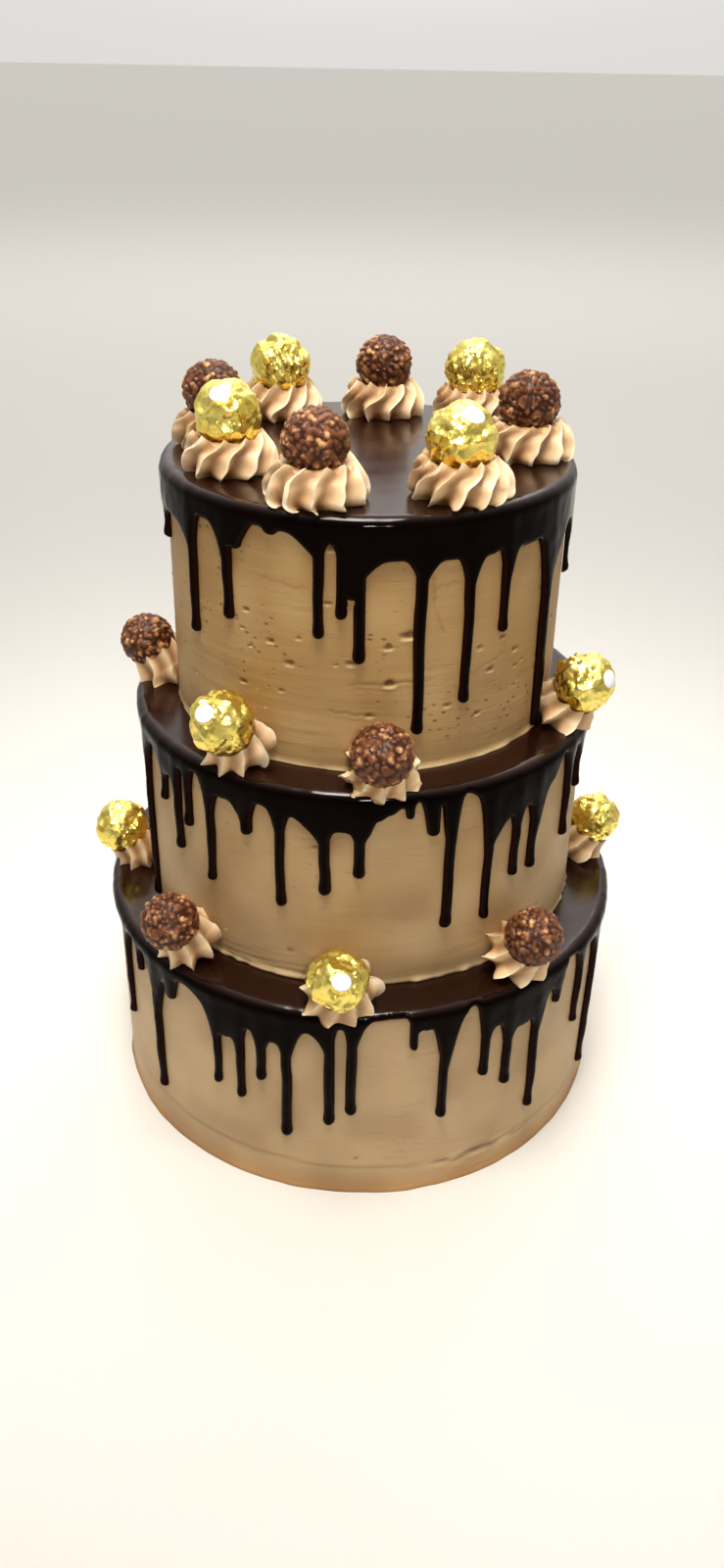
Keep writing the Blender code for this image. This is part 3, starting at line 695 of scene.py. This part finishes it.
INWARD_STEPS = ((0.10, 0.0), (0.35, 0.6), (0.75, 0.8), (1.25, 1.0), (1.85, 1.2), (2.5, 1.5), (3.3, 1.8), (4.4, 2.1))


def skin_outline(skirt, drips, radius):
    """Lower edge of the ganache, as distance round the wall and length down the skin."""
    half_turn = math.pi * radius
    across = np.append(np.arange(-half_turn, half_turn, 0.12), half_turn)
    angle = np.degrees(across / radius)
    depth = edge_depth(skirt, drips, radius, angle)
    points = wall_points(angle, radius, 0.0)
    depth = depth + 0.35 * noise(points, 5.0, 4.1) * ease((depth - 6.0) / 4.0)
    line = np.stack((across, depth_to_path(np.maximum(depth, SKIN + 1.2))), axis=1)
    line[-1, 1] = line[0, 1]
    line = resample(line, 0.62)
    for _ in range(3):
        line[1:-1] = 0.5 * line[1:-1] + 0.25 * (line[:-2] + line[2:])
    return line


def drip_sway(points, skirt, drips, radius):
    """Let the drips wander and swell at their tips."""
    across, path = points.T
    moved = points.copy()
    for index, (middle, tip, width, *_funnels) in enumerate(drips):
        if tip < SHORT_DRIP:
            continue
        centre = math.radians(middle) * radius
        away = across - centre
        end = float(depth_to_path(np.array(tip)))
        start = float(depth_to_path(skirt_depth(skirt, np.array([float(middle)])))[0]) + 16.0
        stem = ease((path - start) / 10.0) * (np.abs(away) < width / 2.0 + 0.9)
        stem = stem * (path < end + 2.0)
        down = path / 21.0 + index * 1.7
        wander = 0.34 * np.sin(down) + 0.22 * np.sin(2.3 * down + 1.0)
        swell = 0.16 * bell((path - end + 3.6) / 3.4) - 0.07 * np.sin(down * 0.7)
        moved[:, 0] += stem * (wander + away * swell)
    return moved


def skin_place(points, lift, radius, level):
    """Place points of the unrolled skin, lifted off the cream by lift."""
    across, path = points.T
    angle = np.degrees(across / radius)
    bend = np.minimum(path, ARC) / RIM
    down = np.maximum(path - ARC, 0.0)
    away = radius - RIM + (RIM + lift) * np.sin(bend)
    height = level - SKIN - RIM + (RIM + lift) * np.cos(bend) - down
    away = away + wall_wave(angle, radius, height) * ease(down / 5.0)
    return wall_points(angle, away, height)


def skin_thickness(points, gap, skirt, drips, radius):
    """Thickness of the ganache from the distance to its edge: rounded beads, fat at the drips' tips."""
    across, path = points.T
    around = wall_points(np.degrees(across / radius), radius, path)
    uneven = 0.22 * noise(around, 13.0, 6.6) + 0.15 * noise(around, 5.0, 1.6)
    full = SKIN + uneven * ease(path / 1.2 + 0.35)
    for middle, tip, width, *_funnels in drips:
        away = (across - math.radians(middle) * radius) / (width * 0.62)
        end = float(depth_to_path(np.array(tip)))
        ridge = bell(away)
        full = full + 0.38 * ridge * ease((path - 1.0) / 7.0) * (path < end)
        if tip > SHORT_DRIP:
            full = full - 0.55 * (np.abs(away) < 1.3) * ease((path - end + 26.0) / 14.0)
            full = full + 0.75 * ridge * bell((path - end + 3.4) / 3.2)
    part = clamp(gap / BEAD)
    return np.maximum(0.0, full) * np.sqrt(clamp(1.0 - (1.0 - part) ** 2)) - SUNK * (gap < 1e-4)


def flat_ring(away, step, start):
    """Points on a circle about the axis, at even steps from an angle."""
    count = max(5, int(TURN * away / step))
    return wall_points(np.arange(count) * 360.0 / count + start, away, 0.0)[:, :2]


def build_ganache(tier, radius, level, skirt, drips, ledge, material):
    """Unroll the skin, mesh it inside its edge, roll it up again and close it behind and on top."""
    wall = radius + SKIN_GAP
    outline = skin_outline(skirt, drips, wall)
    half_turn = math.pi * wall
    rim_count = 2 * int(half_turn / 1.7)
    rim_line = np.linspace(half_turn, -half_turn, rim_count + 1)
    side_path = np.arange(1.2, outline[0, 1] - 0.5, 1.2)
    left = np.stack((np.full(len(side_path), -half_turn), side_path), axis=1)
    right = left[::-1] * (-1.0, 1.0)
    top = np.stack((rim_line, np.zeros(rim_count + 1)), axis=1)
    boundary = np.concatenate((outline, right, top, left))
    tangent = np.gradient(outline, axis=0)
    tangent /= np.maximum(np.hypot(*tangent.T), 1e-9)[:, None]
    inward = np.stack((tangent[:, 1], -tangent[:, 0]), axis=1)
    once_round = (2.0 * half_turn, 0.0)
    wide = np.concatenate((outline[-60:] - once_round, outline, outline[:60] + once_round))

    def row(across, path, clear):
        """Points at one length down the skin, inside its edge and clear of it."""
        line = np.stack((across, np.full(len(across), path)), axis=1)
        line = line[(np.abs(across) < half_turn - 0.6) & (np.interp(across, *outline.T) > path)]
        return line[distance_to_line(line, wide) > clear]

    inside = []
    for step, cell in INWARD_STEPS:
        found = outline + inward * step
        gap = distance_to_line(found, wide)
        found = found[(gap > 0.93 * step) & (found[:, 1] > 0.35) & (np.abs(found[:, 0]) < half_turn - 0.5)]
        inside.append(thin_out(found, cell) if cell else found)
    paths = [(i + 1) * ARC / 7.0 for i in range(8)] + list(np.arange(ARC * 8.0 / 7.0 + 1.4, LOWEST_ROW, 1.9))
    for index, path in enumerate(paths):
        across = rim_line[:-1] - (0.5 * (index % 2) + 0.01) * 2.0 * half_turn / rim_count
        inside.append(row(across, path, 4.9 if path > ARC else 0.7))
    inner = thin_out(np.concatenate(inside), 0.28)
    flat, faces = triangulate(np.concatenate((boundary, inner)), len(boundary), outline)
    gap = distance_to_line(flat, wide)
    lift = skin_thickness(flat, gap, skirt, drips, wall)
    front = skin_place(drip_sway(flat, skirt, drips, wall), lift, wall, level)
    # Tone: low at the lower edge and high at the rim; the material paints warm light at the edge and a lighter
    # reflection at the rim, and sets shine by it.
    tone = 0.25 + 0.5 * ease(gap / 2.2) + 0.2 * ease(1.0 - flat[:, 1] / ARC)

    sparse = [row(rim_line[3:-3:4], path, 3.0) for path in np.arange(2.0, LOWEST_ROW, 6.0)]
    flat, back_faces = triangulate(np.concatenate((boundary, *sparse)), len(boundary), outline)
    lift = np.where(distance_to_line(flat, wide) < 1e-4, -SUNK, -BURIED)
    back = skin_place(drip_sway(flat, skirt, drips, wall), lift, wall, level)

    ring_radius = wall - RIM
    spots = [wall_points(np.degrees(rim_line[:-1] / wall), ring_radius, 0.0)[:, :2]]
    spots += [flat_ring(ring_radius - 1.4, 1.9, 0.3), flat_ring(ring_radius - 3.2, 2.3, 0.3)]
    away = ring_radius - 5.6
    while away > 3.0:
        step = 2.6 if away > ledge else 12.0
        spots.append(flat_ring(away, step, away))
        away -= step * 0.9
    disc, disc_faces = triangulate(np.concatenate(spots), rim_count)
    gentle = ease((ring_radius - np.hypot(*disc.T)) / 12.0)
    ripple = np.column_stack((disc, np.zeros(len(disc))))
    height = level + gentle * (0.10 * noise(ripple, (30.0, 14.0, 10.0), 2.1) + 0.03 * noise(ripple, 9.0, 7.1))
    lid = np.column_stack((disc, height))
    floor = np.column_stack((disc, np.full(len(disc), level - SKIN - BURIED)))

    points, all_faces, tones_and_shading = [], [], []
    first = 0
    # The lids' high tone paints them lighter brown as painted reflection; the ledge lids' slightly lower tone gives
    # them less shine.
    for layer, layer_faces, order, layer_tone_and_shading in (
        (front, faces, 1, tone), (back, back_faces, -1, 0.3),
        (lid, disc_faces, 1, 0.92 if ledge else 1.0), (floor, disc_faces, -1, 1.0),
    ):
        points.append(layer)
        all_faces += [tuple(v + first for v in face[::order]) for face in layer_faces]
        tones_and_shading.append(np.broadcast_to(layer_tone_and_shading, len(layer)))
        first += len(layer)
    points, tones_and_shading = np.concatenate(points), np.concatenate(tones_and_shading)
    piece = new_piece("ganache_coat_" + tier, points, all_faces, material, ["ganache_" + tier], tone=tones_and_shading)
    weld(piece, 0.02)


def weld(piece, distance):
    """Join points that lie on each other and turn the faces outward."""
    bm = bmesh.new()
    bm.from_mesh(piece.data)
    bmesh.ops.remove_doubles(bm, verts=bm.verts, dist=distance * MM)
    bmesh.ops.recalc_face_normals(bm, faces=bm.faces)
    if bm.calc_volume(signed=True) < 0.0:
        bmesh.ops.reverse_faces(bm, faces=bm.faces)
    bm.to_mesh(piece.data)
    bm.free()


# Sweets

def cube_ball(cuts):
    """Directions and faces of a ball made from a cube with even squares."""
    bm = bmesh.new()
    bmesh.ops.create_cube(bm, size=2.0)
    bmesh.ops.subdivide_edges(bm, edges=bm.edges, cuts=cuts - 1, use_grid_fill=True)
    places = np.array([v.co[:] for v in bm.verts])
    faces = [tuple(v.index for v in f.verts) for f in bm.faces]
    bm.free()
    bent = np.tan(np.clip(places, -1.0, 1.0) * math.pi / 4.0)
    return unit(bent), faces


def spread_directions(draw, count, jitter):
    """Directions spread evenly over a ball, then shaken."""
    index = np.arange(count) + 0.5
    height = 1.0 - 2.0 * index / count
    turn = index * math.pi * (3.0 - math.sqrt(5.0))
    found = wall_points(np.degrees(turn), np.sqrt(1.0 - height ** 2), height)
    return unit(found + draw.normal(0.0, jitter, found.shape))


def turned(draw):
    """A random turn."""
    matrix, _rest = np.linalg.qr(draw.normal(0.0, 1.0, (3, 3)))
    return matrix


def fold(value):
    """Zigzag between -1 and 1 with sharp creases."""
    return 4.0 * np.abs(value - np.floor(value + 0.5)) - 1.0


def by_parts(points, work):
    """Results of work on rows of points, a part at a time to spare memory."""
    return np.concatenate([work(points[start:start + 2000]) for start in range(0, len(points), 2000)])


def facets(points, draw, count, tilt, dome, jitter):
    """Height of the highest of many small tilted plates round a ball, which meet in creases."""
    seeds = spread_directions(draw, count, jitter)
    slopes = draw.normal(0.0, tilt, (count, 3))
    lifts = draw.uniform(-0.2, 0.2, count)

    def highest(part):
        gap = (part[:, None, :] - seeds[None]) * FOIL_RADIUS
        return (lifts[None] + (gap * slopes[None]).sum(2) - dome * (gap * gap).sum(2)).max(1)

    return by_parts(points, highest)


def foil_heights(directions, draw, up):
    """Crumple a foil ball: broad facets, small creased plates and pleats gathered opposite its sticker."""
    spun = directions @ turned(draw)
    warp = noise_vectors(spun * 10.0, 5.0, (1.3, 5.1, 9.7))
    bent = spun + 0.10 * warp
    normals = spread_directions(draw, 60, 0.20)
    offsets = 1.0 - draw.uniform(0.0, 0.07, len(normals))
    facing = np.maximum(bent @ normals.T, 0.25)
    height = FOIL_RADIUS * np.clip((offsets[None] / facing).min(1), 0.88, 1.0)
    near = directions @ up
    squeezed = unit(bent * (1.0, 1.0, 0.62))
    height = height + 0.50 * facets(bent, draw, 130, 0.30, 0.07, 0.08)
    height = height - 0.52 * facets(squeezed, draw, 300, 0.36, 0.10, 0.06)
    height = height + 0.30 * facets(bent, draw, 620, 0.40, 0.20, 0.04)
    side = unit(np.cross(up, (0.3, 0.5, 0.81)))
    turn = np.arctan2(directions @ side, directions @ np.cross(up, side)) / TURN
    pleats = fold(turn * 13.0 + 0.35 * warp[:, 0]) + 0.6 * fold(turn * 29.0 + 0.5 * warp[:, 1])
    height = height + 0.42 * ease((0.2 - near) / 0.8) * (pleats - 0.4)
    height = height + FOIL_RADIUS - np.percentile(height, 97.0)
    calm = ease((near - math.cos(math.radians(24.0))) / 0.06)
    height = height * (1.0 - calm) + (FOIL_RADIUS - 0.6) * calm
    return np.clip(height, FOIL_RADIUS - 2.6, FOIL_RADIUS)


def build_foil_ball(name, spot, ball, size, angle, rise, material, paper):
    """Wrap one sweet in crumpled foil, with a blank sticker on it."""
    directions, faces = ball
    draw = draw_for(name)
    toward = wall_points(angle, math.cos(math.radians(rise)), math.sin(math.radians(rise)))
    points = directions * foil_heights(directions, draw, toward)[:, None] * size
    low = 0.5 + 0.25 * noise(directions * 10.0, 4.0, draw.uniform(0.0, 9.0))
    new_piece(name + "_foil", spot + points, faces, material, [name], 15.0, low)

    side = unit(np.cross(toward, (0.0, 0.0, 1.0)))
    up = np.cross(side, toward)
    tilt = draw.uniform(-0.5, 0.5)
    turn = np.radians(np.arange(0.0, 360.0, 9.0))
    rows = []
    for share in np.arange(1.0, 0.0, -1.0 / 8.0):
        across, along = STICKER_HALF[0] * share * np.cos(turn), STICKER_HALF[1] * share * np.sin(turn)
        flat = np.outer(across * math.cos(tilt) - along * math.sin(tilt), side)
        flat += np.outer(across * math.sin(tilt) + along * math.cos(tilt), up)
        out = unit(flat + toward * FOIL_RADIUS)
        crinkle = 0.10 * noise(out * 30.0, 4.0, 2.0) + 0.06 * fold(out @ (9.0, 4.0, 7.0))
        rows.append(out * (FOIL_RADIUS - 0.28 - 0.20 * share ** 4 + crinkle)[:, None] * size)
    under = (FOIL_RADIUS - 0.75) / FOIL_RADIUS
    points, faces = capped_rings(np.stack((rows[-1] * under * 0.999, rows[0] * under, *rows)))
    piece = new_piece(name.replace("foil_ball", "sticker"), spot + points, faces, paper, [])
    weld(piece, 0.001)


def build_nut_ball(name, spot, ball, size, material):
    """Cover one chocolate ball with chopped nuts."""
    directions, faces = ball
    draw = draw_for(name)
    spun = directions @ turned(draw)
    seeds = spread_directions(draw, 300, 0.045)
    sizes = draw.uniform(0.8, 2.3, len(seeds))
    heights = draw.uniform(0.35, 1.5, len(seeds)) * (0.45 + 0.55 * sizes / 1.75)
    tilts = draw.normal(0.0, 0.45, (len(seeds), 3))

    def highest(part):
        gap = (part[:, None, :] - seeds[None]) * NUT_RADIUS
        cap = clamp(1.0 - (np.linalg.norm(gap, axis=2) / sizes[None]) ** 2.6)
        return np.maximum((cap ** 0.6 * (heights[None] + 0.55 * (gap * tilts[None]).sum(2))).max(1), 0.0)

    height = by_parts(spun, highest)
    lumps = 0.25 * noise(spun * 10.0, 5.0, 3.0) + 0.10 * noise(spun * 10.0, 1.6, 4.0)
    reach = np.minimum(NUT_RADIUS - 1.35 + lumps + height, NUT_RADIUS) * size
    # Tone follows the nut bits' height: low in the gaps, for painted shade, and high on the tallest bits, which show
    # lighter tan nut.
    tone = clamp(0.10 + 0.72 * height)
    points = spot + directions * reach[:, None]
    new_piece(name + "_nuts", points, faces, material, [name], 40.0, tone)


# Piped cream

# Shares of one rib of a star nozzle, from its sharp crest over the hollow to the next crest.
RIB = np.array((0.0, 0.015, 0.05, 0.11, 0.18, 0.26, 0.35, 0.45, 0.55, 0.65, 0.75, 0.84, 0.91, 0.96, 0.985))
HOLLOW = 0.40


def rib_columns(ribs):
    """Rib index, share of the rib, its crest height and its tooth height for every column round a star."""
    index = np.repeat(np.arange(ribs), len(RIB))
    share = np.tile(RIB, ribs)
    bent = np.where(share < HOLLOW, 0.5 * share / HOLLOW, 0.5 + 0.5 * (share - HOLLOW) / (1.0 - HOLLOW))
    crest = 1.0 - np.sin(math.pi * bent) ** 0.9
    tooth = np.where(share < 0.74, 1.0 - share / 0.74, (share - 0.74) / 0.26)
    return index, share, crest, tooth


def rows_between(marks, count):
    """Smooth rows through a few marked rows of numbers."""
    marks = np.array(marks, float)
    place = np.linspace(0.0, len(marks) - 1.0, count)
    left = np.clip(np.floor(place).astype(int), 0, len(marks) - 2)
    part = (place - left)[:, None]
    before, after = marks[np.maximum(left - 1, 0)], marks[np.minimum(left + 2, len(marks) - 1)]
    a, b = marks[left], marks[left + 1]
    bend = 2 * before - 5 * a + 4 * b - after + part * (3 * (a - b) + after - before)
    return a + 0.5 * part * (b - before + part * bend)


def build_piped(name, points, tone, material):
    """Make one piped piece from the points of its rows and their tones, which paint highlights on crests and shade in
    hollows.
    """
    mesh_points, faces = capped_rings(points.reshape(*tone.shape, 3))
    tones_and_shading = np.append(clamp(tone).ravel(), (0.3, 0.3))
    new_piece(name + "_cream", mesh_points, faces, material, [name], 62.0, tones_and_shading)


def build_rosette(name, spot, ball_radius, reach, level, ribs, twist, curl, start, material):
    """Pipe one twisted rosette: leaning ribs with sharp crests, teeth round the ball, tips or tongues at the foot."""
    draw = draw_for(name)
    rib, share, crest, tooth = rib_columns(ribs)
    longer = draw.uniform(-0.07, 0.05, ribs)[rib]
    taller = draw.uniform(-1.3, 0.9, ribs)[rib]
    shove = draw.uniform(-0.10, 0.10, ribs)[rib]
    curls = (curl * draw.uniform(0.6, 1.15, ribs))[rib]
    base = level - spot[2]
    outer = rows_between(np.array(ROSETTE_ROWS) * (reach, 1.0, reach, 1.0, 1.0, 1.0) + (0, base, 0, base, 0, 0), 27)
    cup = ball_radius - PRESSED
    inner = [(cup * across, -cup * math.sqrt(1.0 - across ** 2)) * 2 + (0.0, 0.0) for across in (0.80, 0.55, 0.25)]
    wide, high, deep, low, left, foot = np.hsplit(np.concatenate((outer, inner)), 6)
    outside = (np.arange(len(wide)) < len(outer))[:, None]
    top = ease((high - base - 9.0) / 8.0)
    away = deep + (wide - deep) * crest
    away = away * (1.0 + longer * crest * outside * (1.0 - top))
    height = low + (high - low) * (crest * (1.0 - top) + tooth * top) + taller * top * tooth * outside
    pitch = TURN / ribs
    turn = (rib + share + shove * crest) * pitch - math.radians(twist) * left
    turn = turn + pitch * 0.62 * curls * foot * (0.3 + 0.7 * crest)
    turn = turn + math.radians(start) + 0.05 * np.sin(high * 0.5 + start)
    flat = wall_points(np.degrees(turn), away, height).reshape(-1, 3)
    wobble = noise_vectors(flat, 8.0, draw.uniform(0.0, 9.0, 3) + SHIFTS)
    free = ease((np.hypot(flat[:, 0], flat[:, 1]) - 13.0) / 6.0)[:, None]
    flat = flat + (0.65 * wobble + 0.13 * noise_vectors(flat, 2.4, np.array(SHIFTS) + 1.0)) * free
    flat[:, 2] = np.maximum(flat[:, 2], base - 0.3)
    # Painted highlight along the crests and the curled tongues at the foot, and painted shade in the hollows, deeper
    # near the foot.
    tone = 0.70 * crest + 0.15 + 0.35 * curls * foot * crest
    build_piped(name, flat + spot, tone - 0.25 * ease((base + 5.0 - high) / 5.0) * (1.0 - crest), material)


def build_dollop(name, spot, wall, level, ball_radius, reach, torn, material):
    """Pipe one open star of petals into the corner of wall and ledge, pressed down by its ball."""
    draw = draw_for(name)
    ribs = int(draw.choice((9, 9, 10)))
    rib, share, crest, _tooth = rib_columns(ribs)
    out = unit(spot * (1.0, 1.0, 0.0))
    from_middle = out * 9.0 + (0.0, 0.0, 15.0)
    middle, axis, far = spot - from_middle, unit(from_middle), float(np.linalg.norm(from_middle))
    side = np.cross((0.0, 0.0, 1.0), out)
    frame_rows = np.stack((side, np.cross(axis, side), axis))
    cup = ball_radius - PRESSED

    def on_ball(across):
        return far - math.sqrt(cup * cup - across * across)

    longer = draw.uniform(-0.12, 0.08, ribs)[rib]
    profile = rows_between((
        (6.0, -10.5, 6.0, -10.5, 0.0),
        (reach * 0.86, -8.5, 9.0, -9.0, 0.0),
        (reach * 1.06, -5.6, reach * 0.72, -5.8, 0.1),
        (reach * 1.12, -2.4, reach * 0.78, -2.9, 0.25),
        (reach * 1.08, 0.9, reach * 0.78, 0.0, 0.5),
        (reach * 0.94, 4.0, reach * 0.74, 2.4, 0.75),
        (13.6, on_ball(13.6) + 0.6, 12.4, on_ball(12.4) - 0.4, 1.0),
    ), 22)
    inner = [(across, on_ball(across)) * 2 + (1.0,) for across in (9.0, 4.0)]
    wide, high, deep, low, left = np.hsplit(np.concatenate((profile, inner)), 5)
    away = deep + (wide - deep) * crest
    away = away * (1.0 + longer * crest * (np.arange(len(wide)) < 20)[:, None])
    turn = (rib + share) * TURN / ribs + draw.uniform(0.25, 0.55) * left + draw.uniform(0.0, 6.28)
    local = wall_points(np.degrees(turn), away, low + (high - low) * crest).reshape(-1, 3)
    wobble = noise_vectors(local, 6.0, draw.uniform(0.0, 9.0, 3) + SHIFTS)
    free = ease((np.hypot(local[:, 0], local[:, 1]) - 10.0) / 6.0)[:, None]
    local = local + 0.6 * wobble * free
    if torn:
        local = local + noise_vectors(local, 1.9, np.array(SHIFTS) + 3.0) * free
    points = middle + local @ frame_rows
    push = np.maximum(1.0, (wall - 0.4) / np.hypot(points[:, 0], points[:, 1]))
    points[:, :2] *= push[:, None]
    points[:, 2] = np.maximum(points[:, 2], level - 0.3)
    # Painted highlight on the crests and painted shade in the hollows.
    build_piped(name, points, np.tile(0.15 + 0.72 * crest, (len(wide), 1)), material)


# Rows of a rosette from its foot to its ball: share of its reach and height of the crest, the same of the hollow,
# share of the twist left, and curl of the foot.
ROSETTE_ROWS = (
    (0.70, -0.3, 0.58, -0.3, 1.04, 1.0),
    (0.89, 0.1, 0.62, 1.1, 1.02, 1.0),
    (0.985, 1.7, 0.69, 2.9, 0.98, 0.75),
    (1.0, 4.4, 0.73, 5.4, 0.88, 0.3),
    (0.99, 7.8, 0.745, 8.3, 0.70, 0.06),
    (0.93, 11.4, 0.735, 11.0, 0.48, 0.0),
    (0.83, 15.2, 0.70, 13.2, 0.22, 0.0),
    (0.69, 19.2, 0.655, 14.6, 0.0, 0.0),
)
# How each rosette was piped: ribs, twist, how far its foot curls back, and where its first rib starts.
PIPED = (
    (10, 40, 0.25, 12), (11, 25, 1.0, -8), (12, 36, 0.0, 0), (11, 34, 0.55, 5),
    (12, 36, 0.15, 20), (11, 38, 0.35, 14), (11, 40, 0.10, 3), (11, 34, 0.3, 24),
)


def build_cake():
    """Build every piece of the cake."""
    cream, piped, dark = buttercream_material(), piped_material(), ganache_material()
    foil, nut, paper = foil_material(), nut_material(), sticker_material()
    draw = np.random.RandomState(5)
    tiers = (
        # name, radius, foot, level, radius of the tier above, skirt, drips, sweets
        ("top", TOP_RADIUS, MIDDLE_LEVEL, TOP_LEVEL, None, TOP_SKIRT, TOP_DRIPS, TOP_SWEETS),
        ("middle", MIDDLE_RADIUS, BOTTOM_LEVEL, MIDDLE_LEVEL, TOP_RADIUS, MIDDLE_SKIRT, MIDDLE_DRIPS, MIDDLE_SWEETS),
        ("bottom", BOTTOM_RADIUS, 0.0, BOTTOM_LEVEL, MIDDLE_RADIUS, BOTTOM_SKIRT, BOTTOM_DRIPS, BOTTOM_SWEETS),
    )
    walls = (
        # mesh step, depth of the spreading marks, pits to draw and how far above the foot, placed pits and scratches
        (1.0, 1.0, 150, 4.0, PITS, SCRATCHES, plain_foot),
        (1.7, 0.7, 22, 5.0, (), (), ragged_foot),
        (2.0, 0.6, 7, 8.0, (), (), wide_foot),
    )
    for (tier, radius, foot, level, *_rest), (step, marks, count, above, placed, scratches, shape) in zip(tiers, walls):
        pits = (*placed, *scattered_pits(draw, radius, foot + above, level - 26.0, count))
        build_cream_tier(tier, radius, foot, level, step, marks, pits, scratches, shape, cream)
    for tier, radius, _foot, level, wall, skirt, drips, _sweets in tiers:
        build_ganache(tier, radius, level, skirt, drips, wall - 6.0 if wall else 0.0, dark)
    nut_mesh, foil_mesh = cube_ball(31), cube_ball(34)
    for tier, _radius, _foot, level, wall, _skirt, _drips, sweets in tiers:
        for index, (kind, angle, away, rise, reach, size, *sticker) in enumerate(sweets):
            spot = wall_points(angle, away, level + rise)
            name = f"{kind}_ball_{tier}_{index + 1}"
            if kind == "foil":
                radius = FOIL_RADIUS * size
                build_foil_ball(name, spot, foil_mesh, size, *sticker, foil, paper)
            else:
                radius = NUT_RADIUS * size
                build_nut_ball(name, spot, nut_mesh, size, nut)
            if wall is None:
                build_rosette(f"rosette_{index + 1}", spot, radius, reach, level, *PIPED[index], piped)
            else:
                torn = name == "nut_ball_middle_3"
                build_dollop(f"dollop_{tier}_{index + 1}", spot, wall, level, radius, reach, torn, piped)


# Stage: pale floor, soft light and the photo's viewing angle

def build_floor():
    """Lay a pale floor under the cake."""
    mesh = bpy.data.meshes.new("floor")
    half = 30.0
    mesh.from_pydata([(-half, -half, 0), (half, -half, 0), (half, half, 0), (-half, half, 0)], [], [(0, 1, 2, 3)])
    look = Shader(bpy.data.materials.new("pale_floor"))
    look.set(Base_Color=srgb(226, 223, 217), Roughness=0.6)
    mesh.materials.append(look.owner)
    place_in_scene("floor", mesh)


def build_light():
    """Light the room softly from behind and above, with a key light in front and a small lamp for highlights."""
    look = Shader(bpy.data.worlds.new("studio"), "Background", "Generated")
    slope = look.new("VectorMath")
    slope.operation = "DOT_PRODUCT"
    slope = look.fill(slope, "Value", {0: look.place, 1: (0.0, 0.35, 0.35)})
    steps = [
        (share, (level, 0.985 * level, 0.955 * level, 1.0))
        for share, level in ((0.30, 0.26), (0.55, 0.42), (0.85, 0.80), (0.93, 1.25))
    ]
    ends = (0.0, (0.05, 0.05, 0.05, 1.0)), (1.0, (1.35, 1.33, 1.29, 1.0))
    look.set(Color=look.ramp(look.math("ADD", slope, 0.5), *ends, steps), Strength=0.8)
    bpy.context.scene.world = look.owner
    for name, place, target, size, power, spread, color in (
        ("key", (-0.08, -0.35, 1.6), (0.0, 0.0, 0.25), (0.6, 0.6), 1.9, 50.0, (1.0, 0.96, 0.90)),
        ("back", (0.2, 1.1, 1.5), (0.0, 0.0, 0.3), (1.2, 0.8), 2.4, 140.0, (1.0, 0.99, 0.97)),
        ("far", (0.0, 2.6, 2.0), (0.0, 2.6, 0.0), (3.0, 1.6), 7.0, 120.0, (1.0, 0.99, 0.97)),
        ("lamp", (0.06, -0.75, 0.62), (0.0, 0.0, 0.25), (0.06, 0.06), 0.32, 90.0, (1.0, 0.97, 0.93)),
    ):
        data = bpy.data.lights.new(name, "AREA")
        data.shape = "RECTANGLE"
        data.spread = math.radians(spread)
        data.size, data.size_y = size
        data.energy = power
        data.color = color
        lamp = place_in_scene(name, data)
        lamp.location = place
        lamp.rotation_euler = (Vector(place) - Vector(target)).to_track_quat("Z", "Y").to_euler()
        lamp.visible_camera = False


def build_camera():
    """Stand where the photo was taken: 624 mm in front of the axis, 542 mm up, looking down 30.5 degrees."""
    data = bpy.data.cameras.new("camera")
    data.sensor_width = 36.0
    data.lens = 29.03
    data.clip_start = 0.02
    camera = place_in_scene("camera", data)
    pitch, roll = (Matrix.Rotation(math.radians(turn), 4, axis) for turn, axis in ((90.0 - 30.5, "X"), (1.08, "Z")))
    camera.matrix_world = Matrix.Translation((0.0, -0.6238, 0.5418)) @ pitch @ roll
    bpy.context.scene.camera = camera


build_cake()
build_floor()
build_light()
build_camera()
bpy.context.scene.view_settings.view_transform = "Standard"
bpy.context.scene.view_settings.look = "Medium High Contrast"
